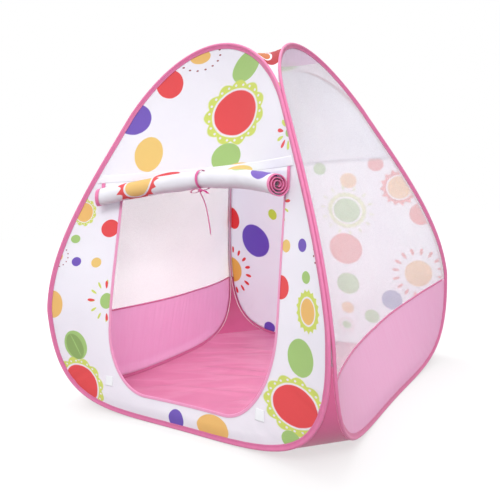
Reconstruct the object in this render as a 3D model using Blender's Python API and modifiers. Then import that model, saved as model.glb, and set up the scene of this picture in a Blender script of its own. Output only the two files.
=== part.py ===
"""Children's pop-up play tent, standing open.

Four closed hoops of spring-steel wire carry the four cloth walls. Neighbouring hoops
are sewn together along a bowed corner, so each hoop is bent out of its own plane and
each wall is drawn into a saddle: hollow across, bowed up and down. The walls are made
facing -Y and turned about Z to their sides. The front wall has a bound door whose
flap is rolled up and tied under a seam band.
"""

import math

import bmesh
import bpy
from mathutils import Matrix, Vector
from mathutils.bvhtree import BVHTree

# Form of one hoop, in metres: reach is a wall's distance from the tent's middle
TENT_HEIGHT = 1.000
WIDE_REACH = 0.455
SHOULDER_REACH = 0.259
CREST_REACH = 0.177
FOOT_REACH_SHARE = 0.9143
WIDE_HEIGHT_SHARE = 0.290
SHOULDER_HEIGHT_SHARE = 0.830
FOOT_HANDLE_SHARE = 0.64
CORNER_HANDLE_SHARES = (0.067, 0.557)
CREST_HANDLE_SHARE = 0.63

# Form of one wall: how far the cloth dips towards the middle, and where its rings centre
SADDLE_DEPTH = 0.130
WALL_CENTRE_SHARE = 0.420
WALL_RING_SHARES = (0.74, 0.42)
SIGHT_SHARE = 0.93

# Steps along half a hoop
FOOT_STEPS = 8
CORNER_STEPS = 6
CREST_STEPS = 5
PROFILE_STEPS = 60
WIRE_BEVEL_RESOLUTION = 1

# Wire, crimp and bias tape
WIRE_RADIUS = 0.0015
FERRULE_BORE_RADIUS = 0.0018
FERRULE_RADIUS = 0.0025
FERRULE_LENGTH = 0.030
FERRULE_SIDES = 10
WELD = 0.00001
TAPE_RADIUS = 0.0045
TAPE_WALL = 0.0006
TAPE_WIDTH = 0.0130
TAPE_NECK = 0.0062
TAPE_FOLD_SHARES = (0.8, 0.6)
TAPE_REST_SHARE = 0.853
CLOTH_INSET = 0.0052

# Cloth and the gap kept between touching pieces
CLOTH = 0.0008
CLEARANCE = 0.0003
LEG_CLEARANCE = 0.0004
EDGE_CLEARANCE = 0.0007

# Side walls
SKIRT_HEIGHT_SHARE = 0.240
SKIRT_TAPE_WIDTH = 0.006

# Back wall
BACK_SEAM_SHARE = 0.680
BACK_SEAM_WIDTH = 0.012

# Door in the front wall
DOOR_MIDDLE = 0.017
DOOR_HALF_WIDTH = 0.275
DOOR_BOTTOM = 0.068
DOOR_TOP_SHARE = 0.622
DOOR_LOWER_REACH = 0.150
DOOR_LOWER_RISE = 0.250
DOOR_UPPER_RADIUS = 0.030
DOOR_SIGHT_SHARE = 0.340
DOOR_TAPE_WIDTH = 0.012
DOOR_TAPE_FOLD = 0.0012
DOOR_RING_SHARES = (0.33, 0.66)
OUTLINE_SEARCH_STEPS = 40

# Seam band over the door
BAND_RISE = 0.023
BAND_WIDTH = 0.023

# Rolled door flap
FLAP_HALF_LENGTH = 0.306
FLAP_EDGE_WIDTH = 0.009
FLAP_CLOTH = 0.0012
FLAP_EDGE_CLOTH = 0.0018
FLAP_STANDOFF = 0.0032
FLAP_STATIONS = 8
ROLL_DROP = 0.028
ROLL_SAG = 0.015
ROLL_RADIUS = 0.0270
ROLL_PITCH = 0.0068
ROLL_TURNS = 3
ROLL_STEPS_PER_TURN = 14

# Hook-and-loop patches beside the foot of the door
PATCH_SIDE = 0.026
PATCH_THICKNESS = 0.0015
PATCH_REACH = 0.252
PATCH_HEIGHT = 0.092

# Ribbon that ties the roll
RIBBON_WIDTH = 0.008
RIBBON = 0.0008
RIBBON_STEPS = 10
TIE_REACH = 0.007
TIE_RISE = 0.003
TIE_START_ANGLE = 105.0
TIE_SWEEP = 190.0
TIE_SLACK = 0.004
KNOT_RADIUS = 0.006
KNOT_DEPTH_SHARE = 0.7
KNOT_SEGMENTS = 12
KNOT_RINGS = 8
BOW_LENGTH = 0.034
BOW_DROP = 0.010
BOW_OPEN_ANGLE = 9.0
SHORT_TAIL_LENGTH = 0.020
LONG_TAIL_LENGTH = 0.118
LONG_TAIL_SWING = 0.030

# Floor, roof and corners
FLOOR_RUNS = 3
NARROWEST_RUN = 0.006
ROOF_SAG_SHARE = 0.08
SEAM_SIT = 0.0095
SEAM_CLEARANCE = 0.0006

# Folding corners: hinge lines lean in the corner planes. The opening one stands outside
# the tent's widest level, the closing ones inside it and lower down
OPENING_HINGE_STANDOFF = 0.029
CLOSING_HINGE_INSET = 0.020
CLOSING_HINGE_DROP = 0.080
HINGE_LEAN_SHARE = 0.35

PINK = (0.83, 0.22, 0.45)
FLOOR_PINK = (0.84, 0.19, 0.40)
SKIRT_PINK = (0.85, 0.38, 0.62)
WHITE_PRINT = (0.88, 0.87, 0.92)
SHEER_WHITE = (0.90, 0.89, 0.91)
STEEL = (0.55, 0.56, 0.58)

SIDES = {"front": 0.0, "right": 90.0, "back": 180.0, "left": 270.0}
CORNERS = {"front_right": 0.0, "back_right": 90.0, "back_left": 180.0, "front_left": 270.0}

# Heights and reaches that follow from the tent's height and width
FOOT_REACH = WIDE_REACH * FOOT_REACH_SHARE
WIDE_HEIGHT = TENT_HEIGHT * WIDE_HEIGHT_SHARE
SHOULDER_HEIGHT = TENT_HEIGHT * SHOULDER_HEIGHT_SHARE
WALL_CENTRE_HEIGHT = TENT_HEIGHT * WALL_CENTRE_SHARE
SKIRT_HEIGHT = TENT_HEIGHT * SKIRT_HEIGHT_SHARE
BACK_SEAM_HEIGHT = TENT_HEIGHT * BACK_SEAM_SHARE
DOOR_SIGHT_HEIGHT = TENT_HEIGHT * DOOR_SIGHT_SHARE
DOOR_TOP = TENT_HEIGHT * DOOR_TOP_SHARE
BAND_BOTTOM = DOOR_TOP + BAND_RISE
BAND_TOP = BAND_BOTTOM + BAND_WIDTH
ROLL_HEIGHT = BAND_BOTTOM - ROLL_DROP
TIE_TOP_HEIGHT = BAND_BOTTOM + TIE_RISE

TUBE_PITCH = (2 * TAPE_RADIUS + CLEARANCE) / math.sqrt(2)
LEG_INSIDE = CLOTH / 2 + LEG_CLEARANCE
LEG_OUTSIDE = LEG_INSIDE + TAPE_WALL
WIRE_REST = TAPE_RADIUS * TAPE_REST_SHARE
FLOOR_DROP = WIRE_REST - CLEARANCE - CLOTH / 2


def clear_scene():
    for item in list(bpy.data.objects):
        bpy.data.objects.remove(item, do_unlink=True)


def make_material(name, colour, roughness, metallic=0.0, alpha=1.0):
    material = bpy.data.materials.new(name)
    material.use_nodes = True
    shader = material.node_tree.nodes["Principled BSDF"]
    shader.inputs["Base Color"].default_value = (*colour, 1.0)
    shader.inputs["Roughness"].default_value = roughness
    shader.inputs["Metallic"].default_value = metallic
    shader.inputs["Alpha"].default_value = alpha
    return material


def link(item, material):
    item.data.materials.append(material)
    bpy.data.collections["play_tent"].objects.link(item)
    return item


def add_mesh(name, mesh, material, angle=0.0):
    """Turn a bmesh into an object of the tent, turned about Z by angle degrees."""
    data = bpy.data.meshes.new(name)
    mesh.to_mesh(data)
    mesh.free()
    data.shade_smooth()
    data.set_sharp_from_angle(angle=math.radians(40.0))
    item = bpy.data.objects.new(name, data)
    item.rotation_euler.z = math.radians(angle)
    return link(item, material)


def loft(name, sections, material, angle=0.0, closed=False, depths=None):
    """Solid through sections of equal point count; a closed one returns to its start.

    Depths give each section point's distance into the cloth, and then every face is cut
    in two on the diagonal that the cloth's own faces use, so that tape and cloth nest.
    """
    mesh = bmesh.new()
    rings = [[mesh.verts.new(point) for point in section] for section in sections]
    pairs = list(zip(rings, rings[1:]))
    if closed:
        pairs.append((rings[-1], rings[0]))
    for ring, following in pairs:
        for index, corner in enumerate(ring):
            after = (index + 1) % len(ring)
            if depths is None:
                mesh.faces.new((corner, ring[after], following[after], following[index]))
            elif depths[index] < depths[after]:
                mesh.faces.new((corner, ring[after], following[after]))
                mesh.faces.new((corner, following[after], following[index]))
            else:
                mesh.faces.new((corner, ring[after], following[index]))
                mesh.faces.new((ring[after], following[after], following[index]))
    if not closed:
        mesh.faces.new(list(reversed(rings[0])))
        mesh.faces.new(rings[-1])
    bmesh.ops.recalc_face_normals(mesh, faces=mesh.faces)
    return add_mesh(name, mesh, material, angle)


def bezier(handles, share):
    """Point at a share of a cubic whose four handles are vectors."""
    rest = 1 - share
    weights = (rest ** 3, 3 * rest ** 2 * share, 3 * rest * share ** 2, share ** 3)
    return sum((handle * weight for handle, weight in zip(handles, weights)), Vector((0, 0, 0)))


def crest_peak(start, rising):
    """Height of the crest's cubic whose last sample carries the tape to the tent's top."""
    share = CREST_STEPS / (CREST_STEPS + 1 / 2)
    rest = 1 - share
    level = 3 * rest * share ** 2 + share ** 3
    return (TENT_HEIGHT - TAPE_RADIUS - rest ** 3 * start - 3 * rest ** 2 * share * rising) / level


def hoop_curves():
    """Foot, corner and crest of half a hoop, as (half width, reach, height) cubics."""
    lowest = WIRE_REST
    inset = TUBE_PITCH
    wide = Vector((WIDE_REACH - inset, WIDE_REACH, WIDE_HEIGHT))
    shoulder = Vector((SHOULDER_REACH - inset, SHOULDER_REACH, SHOULDER_HEIGHT))
    foot = (
        Vector((0, FOOT_REACH, lowest)),
        Vector((WIDE_REACH * FOOT_HANDLE_SHARE, FOOT_REACH, lowest)),
        Vector((wide.x, wide.y, lowest)),
        wide,
    )
    corner = [wide]
    for number, share in enumerate(CORNER_HANDLE_SHARES, start=1):
        handle = wide.lerp(shoulder, share)
        handle.z = WIDE_HEIGHT + (SHOULDER_HEIGHT - WIDE_HEIGHT) * number / 3
        corner.append(handle)
    corner.append(shoulder)
    rising = shoulder.lerp(corner[2], -1 / CREST_STEPS ** 2)
    highest = crest_peak(shoulder.z, rising.z)
    crest = (
        shoulder,
        rising,
        Vector((SHOULDER_REACH * CREST_HANDLE_SHARE, CREST_REACH, highest)),
        Vector((0, CREST_REACH, highest)),
    )
    return foot, tuple(corner), crest


def half_hoop():
    """Sample half a hoop from beside its foot's middle to beside its crest's middle."""
    foot, corner, crest = hoop_curves()
    foot_span = FOOT_STEPS + 1 / 2
    crest_span = CREST_STEPS + 1 / 2
    points = [bezier(foot, (step + 1 / 2) / foot_span) for step in range(FOOT_STEPS + 1)]
    points += [bezier(corner, step / CORNER_STEPS) for step in range(1, CORNER_STEPS + 1)]
    points += [bezier(crest, step / crest_span) for step in range(1, CREST_STEPS + 1)]
    return points


def hoop_profile():
    """Fine samples of half a hoop, rising all the way, for reading off reach and width."""
    points = []
    for curve in hoop_curves():
        points += [bezier(curve, step / PROFILE_STEPS) for step in range(PROFILE_STEPS + 1)]
    points.sort(key=lambda point: point.z)
    return points


HALF = half_hoop()
PROFILE = hoop_profile()


def profile_at(height):
    """Half width and reach of a hoop at a height."""
    for low, high in zip(PROFILE, PROFILE[1:]):
        if low.z <= height <= high.z and high.z > low.z:
            return low.lerp(high, (height - low.z) / (high.z - low.z))
    return PROFILE[0] if height < PROFILE[0].z else PROFILE[-1]


def wall_point(across, height):
    """Point of the front wall's saddle."""
    edge = profile_at(height)
    level = height / TENT_HEIGHT
    dip = SADDLE_DEPTH * 4 * level * (1 - level)
    spread = min(abs(across) / max(edge.x, TAPE_RADIUS), 1)
    return Vector((across, dip * (1 - spread ** 2) - edge.y, height))


def hoop_loop():
    """The front hoop's wire line, once round, seen from outside against the clock."""
    right = [Vector((point.x, -point.y, point.z)) for point in HALF]
    left = [Vector((-point.x, point.y, point.z)) for point in reversed(right)]
    return right + left


def around(points, index):
    """Direction of a closed line at one of its points."""
    return (points[(index + 1) % len(points)] - points[index - 1]).normalized()


def hoop_frames():
    """For each hoop point: the point, the way into the cloth and the outward normal."""
    frames = []
    loop = hoop_loop()
    for index, point in enumerate(loop):
        along = around(loop, index)
        level = WALL_CENTRE_HEIGHT + (point.z - WALL_CENTRE_HEIGHT) * SIGHT_SHARE
        sight = wall_point(point.x * SIGHT_SHARE, level) - point
        inward = (sight - along * sight.dot(along)).normalized()
        frames.append((point, inward, along.cross(inward)))
    return frames


FRAMES = hoop_frames()


def tape_outline(fold_radius, width):
    """Folded tape's section as (into the cloth, outward) pairs, round the wire."""
    inside = fold_radius - TAPE_WALL
    outer = [
        (width, LEG_OUTSIDE),
        (TAPE_NECK, LEG_OUTSIDE),
        (0, fold_radius),
        (-fold_radius * TAPE_FOLD_SHARES[0], fold_radius * TAPE_FOLD_SHARES[1]),
    ]
    inner = [(-inside, 0), (0, inside), (TAPE_NECK - TAPE_WALL, LEG_INSIDE), (width, LEG_INSIDE)]
    mirrored = [(into, -out) for into, out in reversed(outer)]
    lining = [(into, -out) for into, out in reversed(inner[1:])]
    return outer + mirrored + lining + inner


def make_hoop(side, angle, materials):
    """Wire, crimp and tape of one hoop."""
    curve = bpy.data.curves.new(f"wire_{side}", "CURVE")
    curve.dimensions = "3D"
    curve.bevel_depth = WIRE_RADIUS
    curve.bevel_resolution = WIRE_BEVEL_RESOLUTION
    spline = curve.splines.new("POLY")
    loop = hoop_loop()
    spline.points.add(len(loop) - 1)
    for point, place in zip(spline.points, loop):
        point.co = (*place, 1.0)
    spline.use_cyclic_u = True
    wire = bpy.data.objects.new(f"wire_{side}", curve)
    wire.rotation_euler.z = math.radians(angle)
    link(wire, materials["steel"])

    crimp = bpy.data.meshes.new(f"crimp_{side}")
    ends = (FERRULE_LENGTH / 2, -FERRULE_LENGTH / 2)
    corners = [(FERRULE_RADIUS, 0, ends[0]), (FERRULE_RADIUS, 0, ends[1])]
    corners += [(FERRULE_BORE_RADIUS, 0, ends[1]), (FERRULE_BORE_RADIUS, 0, ends[0])]
    crimp.from_pydata(corners, [(0, 1), (1, 2), (2, 3), (3, 0)], [])
    crimp_object = bpy.data.objects.new(f"crimp_{side}", crimp)
    turn = Matrix.Rotation(math.radians(angle), 4, "Z")
    crimp_object.location = turn @ Vector((0, -HALF[0].y, HALF[0].z))
    crimp_object.rotation_euler = (0, math.radians(90.0), math.radians(angle))
    screw = crimp_object.modifiers.new("turned", "SCREW")
    screw.axis = "Z"
    screw.steps = FERRULE_SIDES
    screw.render_steps = FERRULE_SIDES
    screw.use_merge_vertices = True
    screw.merge_threshold = WELD
    link(crimp_object, materials["crimp"])

    outline = tape_outline(TAPE_RADIUS, TAPE_WIDTH)
    sections = [
        [point + inward * into + outward * out for into, out in outline]
        for point, inward, outward in FRAMES
    ]
    depths = [into for into, _ in outline]
    loft(f"sleeve_{side}", sections, materials["binding"], angle, closed=True, depths=depths)


def wall_rings():
    """Closed rings of a plain wall from the tape inwards, and the point at its middle."""
    rings = [
        [point + inward * CLOTH_INSET for point, inward, _ in FRAMES],
        [point + inward * (TAPE_WIDTH + CLEARANCE) for point, inward, _ in FRAMES],
    ]
    for share in WALL_RING_SHARES:
        rings.append([
            wall_point(point.x * share, WALL_CENTRE_HEIGHT + (point.z - WALL_CENTRE_HEIGHT) * share)
            for point, _, _ in FRAMES
        ])
    return rings, wall_point(0, WALL_CENTRE_HEIGHT)


def in_door(across, height):
    """True inside the door's outline, an upright panel with round corners."""
    across = abs(across - DOOR_MIDDLE)
    if across > DOOR_HALF_WIDTH or not DOOR_BOTTOM < height < DOOR_TOP:
        return False
    for reach, rise, level in (
        (DOOR_LOWER_REACH, DOOR_LOWER_RISE, DOOR_BOTTOM + DOOR_LOWER_RISE - height),
        (DOOR_UPPER_RADIUS, DOOR_UPPER_RADIUS, height - DOOR_TOP + DOOR_UPPER_RADIUS),
    ):
        beyond = across - DOOR_HALF_WIDTH + reach
        if level > 0 and beyond > 0 and math.hypot(level / rise, beyond / reach) > 1:
            return False
    return True


def door_loop():
    """Points of the door's edge on the saddle, each in line with a point of the hoop."""
    loop = []
    for point, _, _ in FRAMES:
        near = 0.0
        far = 1.0
        for _ in range(OUTLINE_SEARCH_STEPS):
            share = (near + far) / 2
            height = DOOR_SIGHT_HEIGHT + (point.z - DOOR_SIGHT_HEIGHT) * share
            if in_door(point.x * share, height):
                near = share
            else:
                far = share
        loop.append(wall_point(point.x * near, DOOR_SIGHT_HEIGHT + (point.z - DOOR_SIGHT_HEIGHT) * near))
    return loop


def door_frames():
    """For each door point: the point, the way out into the cloth and the outward normal."""
    frames = []
    loop = door_loop()
    for index, point in enumerate(loop):
        along = around(loop, index)
        aside = Vector((along.z, 0, -along.x)) * DOOR_TAPE_WIDTH * 2
        sight = wall_point(point.x + aside.x, point.z + aside.z) - point
        outward = (sight - along * sight.dot(along)).normalized()
        frames.append((point, outward, outward.cross(along)))
    return frames


def front_rings(door):
    """Closed rings of the front wall from the hoop's tape to the door's edge."""
    outer = [
        [point + inward * CLOTH_INSET for point, inward, _ in FRAMES],
        [point + inward * (TAPE_WIDTH + CLEARANCE) for point, inward, _ in FRAMES],
    ]
    inner = [
        [point + outward * (DOOR_TAPE_WIDTH + CLEARANCE) for point, outward, _ in door],
        [point + outward * DOOR_TAPE_FOLD for point, outward, _ in door],
    ]
    between = []
    for share in DOOR_RING_SHARES:
        ring = []
        for start, end in zip(outer[-1], inner[0]):
            place = start.lerp(end, share)
            ring.append(wall_point(place.x, place.z))
        between.append(ring)
    return outer + between + inner


def cloth_mesh(rings, middle=None, bound_hole=False, low=None, high=None, start=None, end=None):
    """Open sheet through closed rings, kept between two heights and two places across.

    The band beside an edge is cut on the diagonal from the edge's point to the next
    one's partner: the outer edge always, the inner one where it is a bound hole.
    """
    mesh = bmesh.new()
    verts = [[mesh.verts.new(point) for point in ring] for ring in rings]
    for number, (outer, inner) in enumerate(zip(verts, verts[1:]), start=2):
        at_hole = bound_hole and number == len(verts)
        for index, corner in enumerate(outer):
            after = (index + 1) % len(outer)
            if at_hole:
                mesh.faces.new((corner, outer[after], inner[index]))
                mesh.faces.new((outer[after], inner[after], inner[index]))
            else:
                mesh.faces.new((corner, outer[after], inner[after]))
                mesh.faces.new((corner, inner[after], inner[index]))
    if middle is not None:
        centre = mesh.verts.new(middle)
        last = verts[-1]
        for index, corner in enumerate(last):
            mesh.faces.new((corner, last[(index + 1) % len(last)], centre))
    upright = Vector((0, 0, 1))
    sideways = Vector((1, 0, 0))
    for place, normal in ((low, -upright), (high, upright), (start, -sideways), (end, sideways)):
        if place is not None:
            geometry = mesh.verts[:] + mesh.edges[:] + mesh.faces[:]
            bmesh.ops.bisect_plane(
                mesh, geom=geometry, dist=WELD, plane_co=(place, place, place),
                plane_no=normal, clear_outer=True,
            )
    mesh.normal_update()
    return mesh


def add_sheet(name, mesh, material, angle=0.0, thickness=CLOTH, lift=0.0):
    """Give an open sheet its thickness, centred, or wholly outside from a lift upwards."""
    if lift:
        for vert in mesh.verts:
            vert.co += vert.normal * lift
    item = add_mesh(name, mesh, material, angle)
    solidify = item.modifiers.new("cloth", "SOLIDIFY")
    solidify.thickness = thickness
    solidify.offset = 1.0 if lift else 0.0
    return item


def make_side_wall(side, angle, materials):
    """Sheer cloth above, skirt below, and the tape that covers their seam."""
    rings, middle = wall_rings()
    half_gap = CLEARANCE / 2
    sheer = cloth_mesh(rings, middle, low=SKIRT_HEIGHT + half_gap)
    add_sheet(f"sheer_{side}", sheer, materials["sheer"], angle)
    skirt = cloth_mesh(rings, middle, high=SKIRT_HEIGHT - half_gap)
    add_sheet(f"skirt_{side}", skirt, materials["skirt"], angle)
    edge = SKIRT_TAPE_WIDTH / 2
    tape = cloth_mesh(rings[1:], middle, low=SKIRT_HEIGHT - edge, high=SKIRT_HEIGHT + edge)
    add_sheet(f"skirt_tape_{side}", tape, materials["binding"], angle, TAPE_WALL, CLOTH / 2 + CLEARANCE)


def make_back_wall(angle, materials):
    """Printed cloth up to a seam, plain cloth above it, and the seam's band."""
    rings, middle = wall_rings()
    half_gap = CLEARANCE / 2
    upper = cloth_mesh(rings, middle, low=BACK_SEAM_HEIGHT + half_gap)
    add_sheet("back_upper", upper, materials["plain"], angle)
    lower = cloth_mesh(rings, middle, high=BACK_SEAM_HEIGHT - half_gap)
    add_sheet("back_wall", lower, materials["print"], angle)
    edge = BACK_SEAM_WIDTH / 2
    band = cloth_mesh(rings[1:], middle, low=BACK_SEAM_HEIGHT - edge, high=BACK_SEAM_HEIGHT + edge)
    add_sheet("back_seam", band, materials["plain"], angle, TAPE_WALL, CLOTH / 2 + CLEARANCE)


def make_front_wall(materials):
    """Printed wall with the bound door, and the band over it; returns its bare sheet."""
    door = door_frames()
    rings = front_rings(door)
    add_sheet("front_wall", cloth_mesh(rings, bound_hole=True), materials["print"])
    band = cloth_mesh(rings[1:-1], low=BAND_BOTTOM, high=BAND_TOP)
    add_sheet("seam_band", band, materials["plain"], 0.0, TAPE_WALL, CLOTH / 2 + CLEARANCE)

    fold = [(DOOR_TAPE_WIDTH, LEG_OUTSIDE), (0, LEG_OUTSIDE), (0, -LEG_OUTSIDE)]
    fold += [(DOOR_TAPE_WIDTH, -LEG_OUTSIDE), (DOOR_TAPE_WIDTH, -LEG_INSIDE)]
    fold += [(TAPE_WALL, -LEG_INSIDE), (TAPE_WALL, LEG_INSIDE), (DOOR_TAPE_WIDTH, LEG_INSIDE)]
    sections = [
        [point + outward * into + normal * out for into, out in fold]
        for point, outward, normal in door
    ]
    depths = [into for into, _ in fold]
    loft("door_binding", sections, materials["binding"], closed=True, depths=depths)
    make_patches(rings[1:-1], materials)
    return BVHTree.FromBMesh(cloth_mesh(rings, bound_hole=True))


def on_wall(tree, across, height):
    """Point and outward normal of the front wall's cloth, or of the saddle in the door."""
    start = Vector((across, -TENT_HEIGHT, height))
    hit, normal, _, _ = tree.ray_cast(start, Vector((0, 1, 0)))
    if hit is None:
        hit = wall_point(across, height)
        rise = wall_point(across, height + RIBBON_WIDTH) - hit
        run = wall_point(across + RIBBON_WIDTH, height) - hit
        normal = run.cross(rise).normalized()
    if normal.y > 0:
        normal = -normal
    return hit, normal


def ribbon_section(path, half):
    """Outline of a strip of cloth that follows a flat path, half its thickness a side."""
    ahead = []
    behind = []
    for index, point in enumerate(path):
        before = path[max(index - 1, 0)]
        after = path[min(index + 1, len(path) - 1)]
        along = (after - before).normalized()
        aside = Vector((along.y, -along.x)) * half
        ahead.append(point + aside)
        behind.append(point - aside)
    return ahead + list(reversed(behind))


def flap_path(drop):
    """Flat path of the flap: down the wall for drop, then wound into the roll.

    The first coordinate is the way out from the wall, the second the way up, and the
    zero is at the wall in line with the roll's middle.
    """
    standoff = FLAP_STANDOFF
    path = [Vector((standoff, drop)), Vector((standoff, drop / 2))]
    steps = ROLL_TURNS * ROLL_STEPS_PER_TURN
    centre = standoff + ROLL_RADIUS
    for step in range(steps + 1):
        turn = step / ROLL_STEPS_PER_TURN
        radius = ROLL_RADIUS - ROLL_PITCH * turn
        angle = math.radians(180.0 + 360.0 * turn)
        path.append(Vector((centre + radius * math.cos(angle), radius * math.sin(angle))))
    return path


def roll_height(across):
    """Height of the roll's middle line, which sags towards its ends."""
    return ROLL_HEIGHT - ROLL_SAG * (across / FLAP_HALF_LENGTH) ** 2


def flap_station(tree, across):
    """Origin, way out and way up of the flap's section at a distance from the middle."""
    hit, _ = on_wall(tree, across, BAND_BOTTOM)
    height = roll_height(across)
    low = wall_point(across, height)
    up = (hit - low).normalized()
    slope = wall_point(across + RIBBON_WIDTH, height) - wall_point(across - RIBBON_WIDTH, height)
    out = slope.cross(up).normalized()
    return hit - up * (BAND_BOTTOM - height), out, up


def flap_piece(name, tree, places, cloth, material):
    """Length of the hanging and rolled flap between the first and the last place."""
    sections = []
    for across in places:
        drop = BAND_BOTTOM - roll_height(across) - CLEARANCE
        section = ribbon_section(flap_path(drop), cloth / 2)
        origin, out, up = flap_station(tree, across)
        sections.append([origin + out * point.x + up * point.y for point in section])
    return loft(name, sections, material)


def make_flap(tree, materials):
    """Door flap, hanging from the band and rolled outwards, with its two bound edges."""
    inner = FLAP_HALF_LENGTH - FLAP_EDGE_WIDTH
    places = [inner * (2 * step / FLAP_STATIONS - 1) for step in range(FLAP_STATIONS + 1)]
    flap_piece("door_flap", tree, places, FLAP_CLOTH, materials["print"])
    for name, sign in (("left", -1), ("right", 1)):
        ends = [sign * (inner + CLEARANCE), sign * FLAP_HALF_LENGTH]
        flap_piece(f"flap_edge_{name}", tree, ends, FLAP_EDGE_CLOTH, materials["binding"])


def strip(name, path, widths, thickness, material, across=Vector((1, 0, 0))):
    """Ribbon along a path in space, flat along the across direction."""
    sections = []
    for index, point in enumerate(path):
        along = (path[min(index + 1, len(path) - 1)] - path[max(index - 1, 0)]).normalized()
        side = (across - along * across.dot(along)).normalized()
        face = along.cross(side) * thickness / 2
        half = side * widths / 2
        sections.append([point + half + face, point - half + face, point - half - face, point + half - face])
    return loft(name, sections, material)


def make_tie(tree, materials):
    """Ribbon from the seam down both sides of the roll, its knot, bow and tails."""
    origin, out, up = flap_station(tree, TIE_REACH)
    centre = origin + out * (FLAP_STANDOFF + ROLL_RADIUS)
    reach = ROLL_RADIUS + FLAP_CLOTH / 2 + CLEARANCE + RIBBON / 2
    top, normal = on_wall(tree, TIE_REACH, TIE_TOP_HEIGHT)
    front = [top + normal * (CLOTH / 2 + TAPE_WALL + 2 * CLEARANCE + RIBBON / 2)]
    for step in range(RIBBON_STEPS + 1):
        angle = math.radians(TIE_START_ANGLE - TIE_SWEEP * step / RIBBON_STEPS)
        front.append(centre + (out * math.cos(angle) + up * math.sin(angle)) * reach)
    strip("tie_front", front, RIBBON_WIDTH, RIBBON, materials["ribbon"])

    knot_place = centre - up * (reach + RIBBON + KNOT_RADIUS * KNOT_DEPTH_SHARE)
    knot = bmesh.new()
    bmesh.ops.create_uvsphere(
        knot, u_segments=KNOT_SEGMENTS, v_segments=KNOT_RINGS, radius=KNOT_RADIUS,
        matrix=Matrix.Translation(knot_place) @ Matrix.Diagonal((1, KNOT_DEPTH_SHARE, KNOT_DEPTH_SHARE, 1)),
    )
    add_mesh("tie_knot", knot, materials["ribbon"])
    clear = KNOT_RADIUS + CLEARANCE
    seat = CLOTH / 2 + CLEARANCE + RIBBON / 2
    back = [knot_place + Vector((0, clear * KNOT_DEPTH_SHARE, 0)) + up * RIBBON]
    back.append(origin - out * TIE_SLACK - up * ROLL_RADIUS / 2)
    back.append(top - normal * seat)
    strip("tie_back", back, RIBBON_WIDTH, RIBBON, materials["ribbon"])

    face = knot_place - Vector((0, clear * KNOT_DEPTH_SHARE + RIBBON / 2, 0))
    upright = Vector((0, 0, 1))
    bow = []
    for step in range(RIBBON_STEPS + 1):
        turn = math.radians(BOW_OPEN_ANGLE + (360.0 - 2 * BOW_OPEN_ANGLE) * step / RIBBON_STEPS)
        swing = Vector((math.cos(turn) - 1, 0, math.sin(turn))) / 2
        bow.append(knot_place + Vector((-clear + BOW_LENGTH * swing.x, 0, BOW_DROP * swing.z)))
    strip("tie_bow", bow, RIBBON_WIDTH, RIBBON, materials["ribbon"], Vector((0, 1, 0)))
    short = []
    long = []
    for step in range(RIBBON_STEPS + 1):
        share = step / RIBBON_STEPS
        short.append(knot_place + Vector((clear + SHORT_TAIL_LENGTH * share, 0, -BOW_DROP * share ** 2)))
        sag = math.sin(math.radians(90.0) * share)
        long.append(face - upright * LONG_TAIL_LENGTH * share + Vector((LONG_TAIL_SWING * sag, 0, 0)))
    strip("tie_short_tail", short, RIBBON_WIDTH, RIBBON, materials["ribbon"], Vector((0, 1, 0)))
    strip("tie_long_tail", long, RIBBON_WIDTH, RIBBON, materials["ribbon"])


def make_patches(rings, materials):
    """Hook-and-loop patches that the closed door flap meets."""
    half = PATCH_SIDE / 2
    for name, sign in (("left", -1), ("right", 1)):
        middle = sign * PATCH_REACH
        mesh = cloth_mesh(
            rings, low=PATCH_HEIGHT - half, high=PATCH_HEIGHT + half, start=middle - half, end=middle + half,
        )
        add_sheet(f"patch_{name}", mesh, materials["patch"], 0.0, PATCH_THICKNESS, CLOTH / 2 + CLEARANCE)


def corner_run(index, drop):
    """Ends of the level line across the front right corner from a point of the half hoop.

    Each end lies below its hoop's wire line by the drop, and just clear of the tape.
    """
    point = HALF[index]
    start = Vector((point.x, -point.y, point.z - drop))
    end = Vector((point.y, -point.x, point.z - drop))
    mirrored = Vector((-point.x, point.y, point.z))
    before = HALF[index - 1] if index else mirrored
    after = HALF[index + 1] if index + 1 < len(HALF) else mirrored
    along = Vector((after.x - before.x, before.y - after.y, after.z - before.z)).normalized()
    across = (end - start).normalized()
    slope = across.dot(along)
    square = 1 - slope ** 2
    linear = slope * along.z * drop
    constant = (1 - along.z ** 2) * drop ** 2 - (TAPE_RADIUS + EDGE_CLEARANCE) ** 2
    step = across * (math.sqrt(linear ** 2 - square * constant) - linear) / square
    return start + step, end - step


def make_gusset(corner, angle, materials):
    """Corner of the floor cloth, drawn up between two hoops to where they meet."""
    mesh = bmesh.new()
    rows = []
    for index in range(FLOOR_RUNS, FOOT_STEPS + 1):
        start, end = corner_run(index, FLOOR_DROP)
        if (end - start).length > NARROWEST_RUN:
            if not rows:
                start.z += EDGE_CLEARANCE
                end.z += EDGE_CLEARANCE
            rows.append([mesh.verts.new(place) for place in (start, start.lerp(end, 1 / 2), end)])
    for low, high in zip(rows, rows[1:]):
        for index in range(len(low) - 1):
            mesh.faces.new((low[index], low[index + 1], high[index + 1], high[index]))
    mesh.normal_update()
    add_sheet(f"gusset_{corner}", mesh, materials["floor"], angle)


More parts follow.
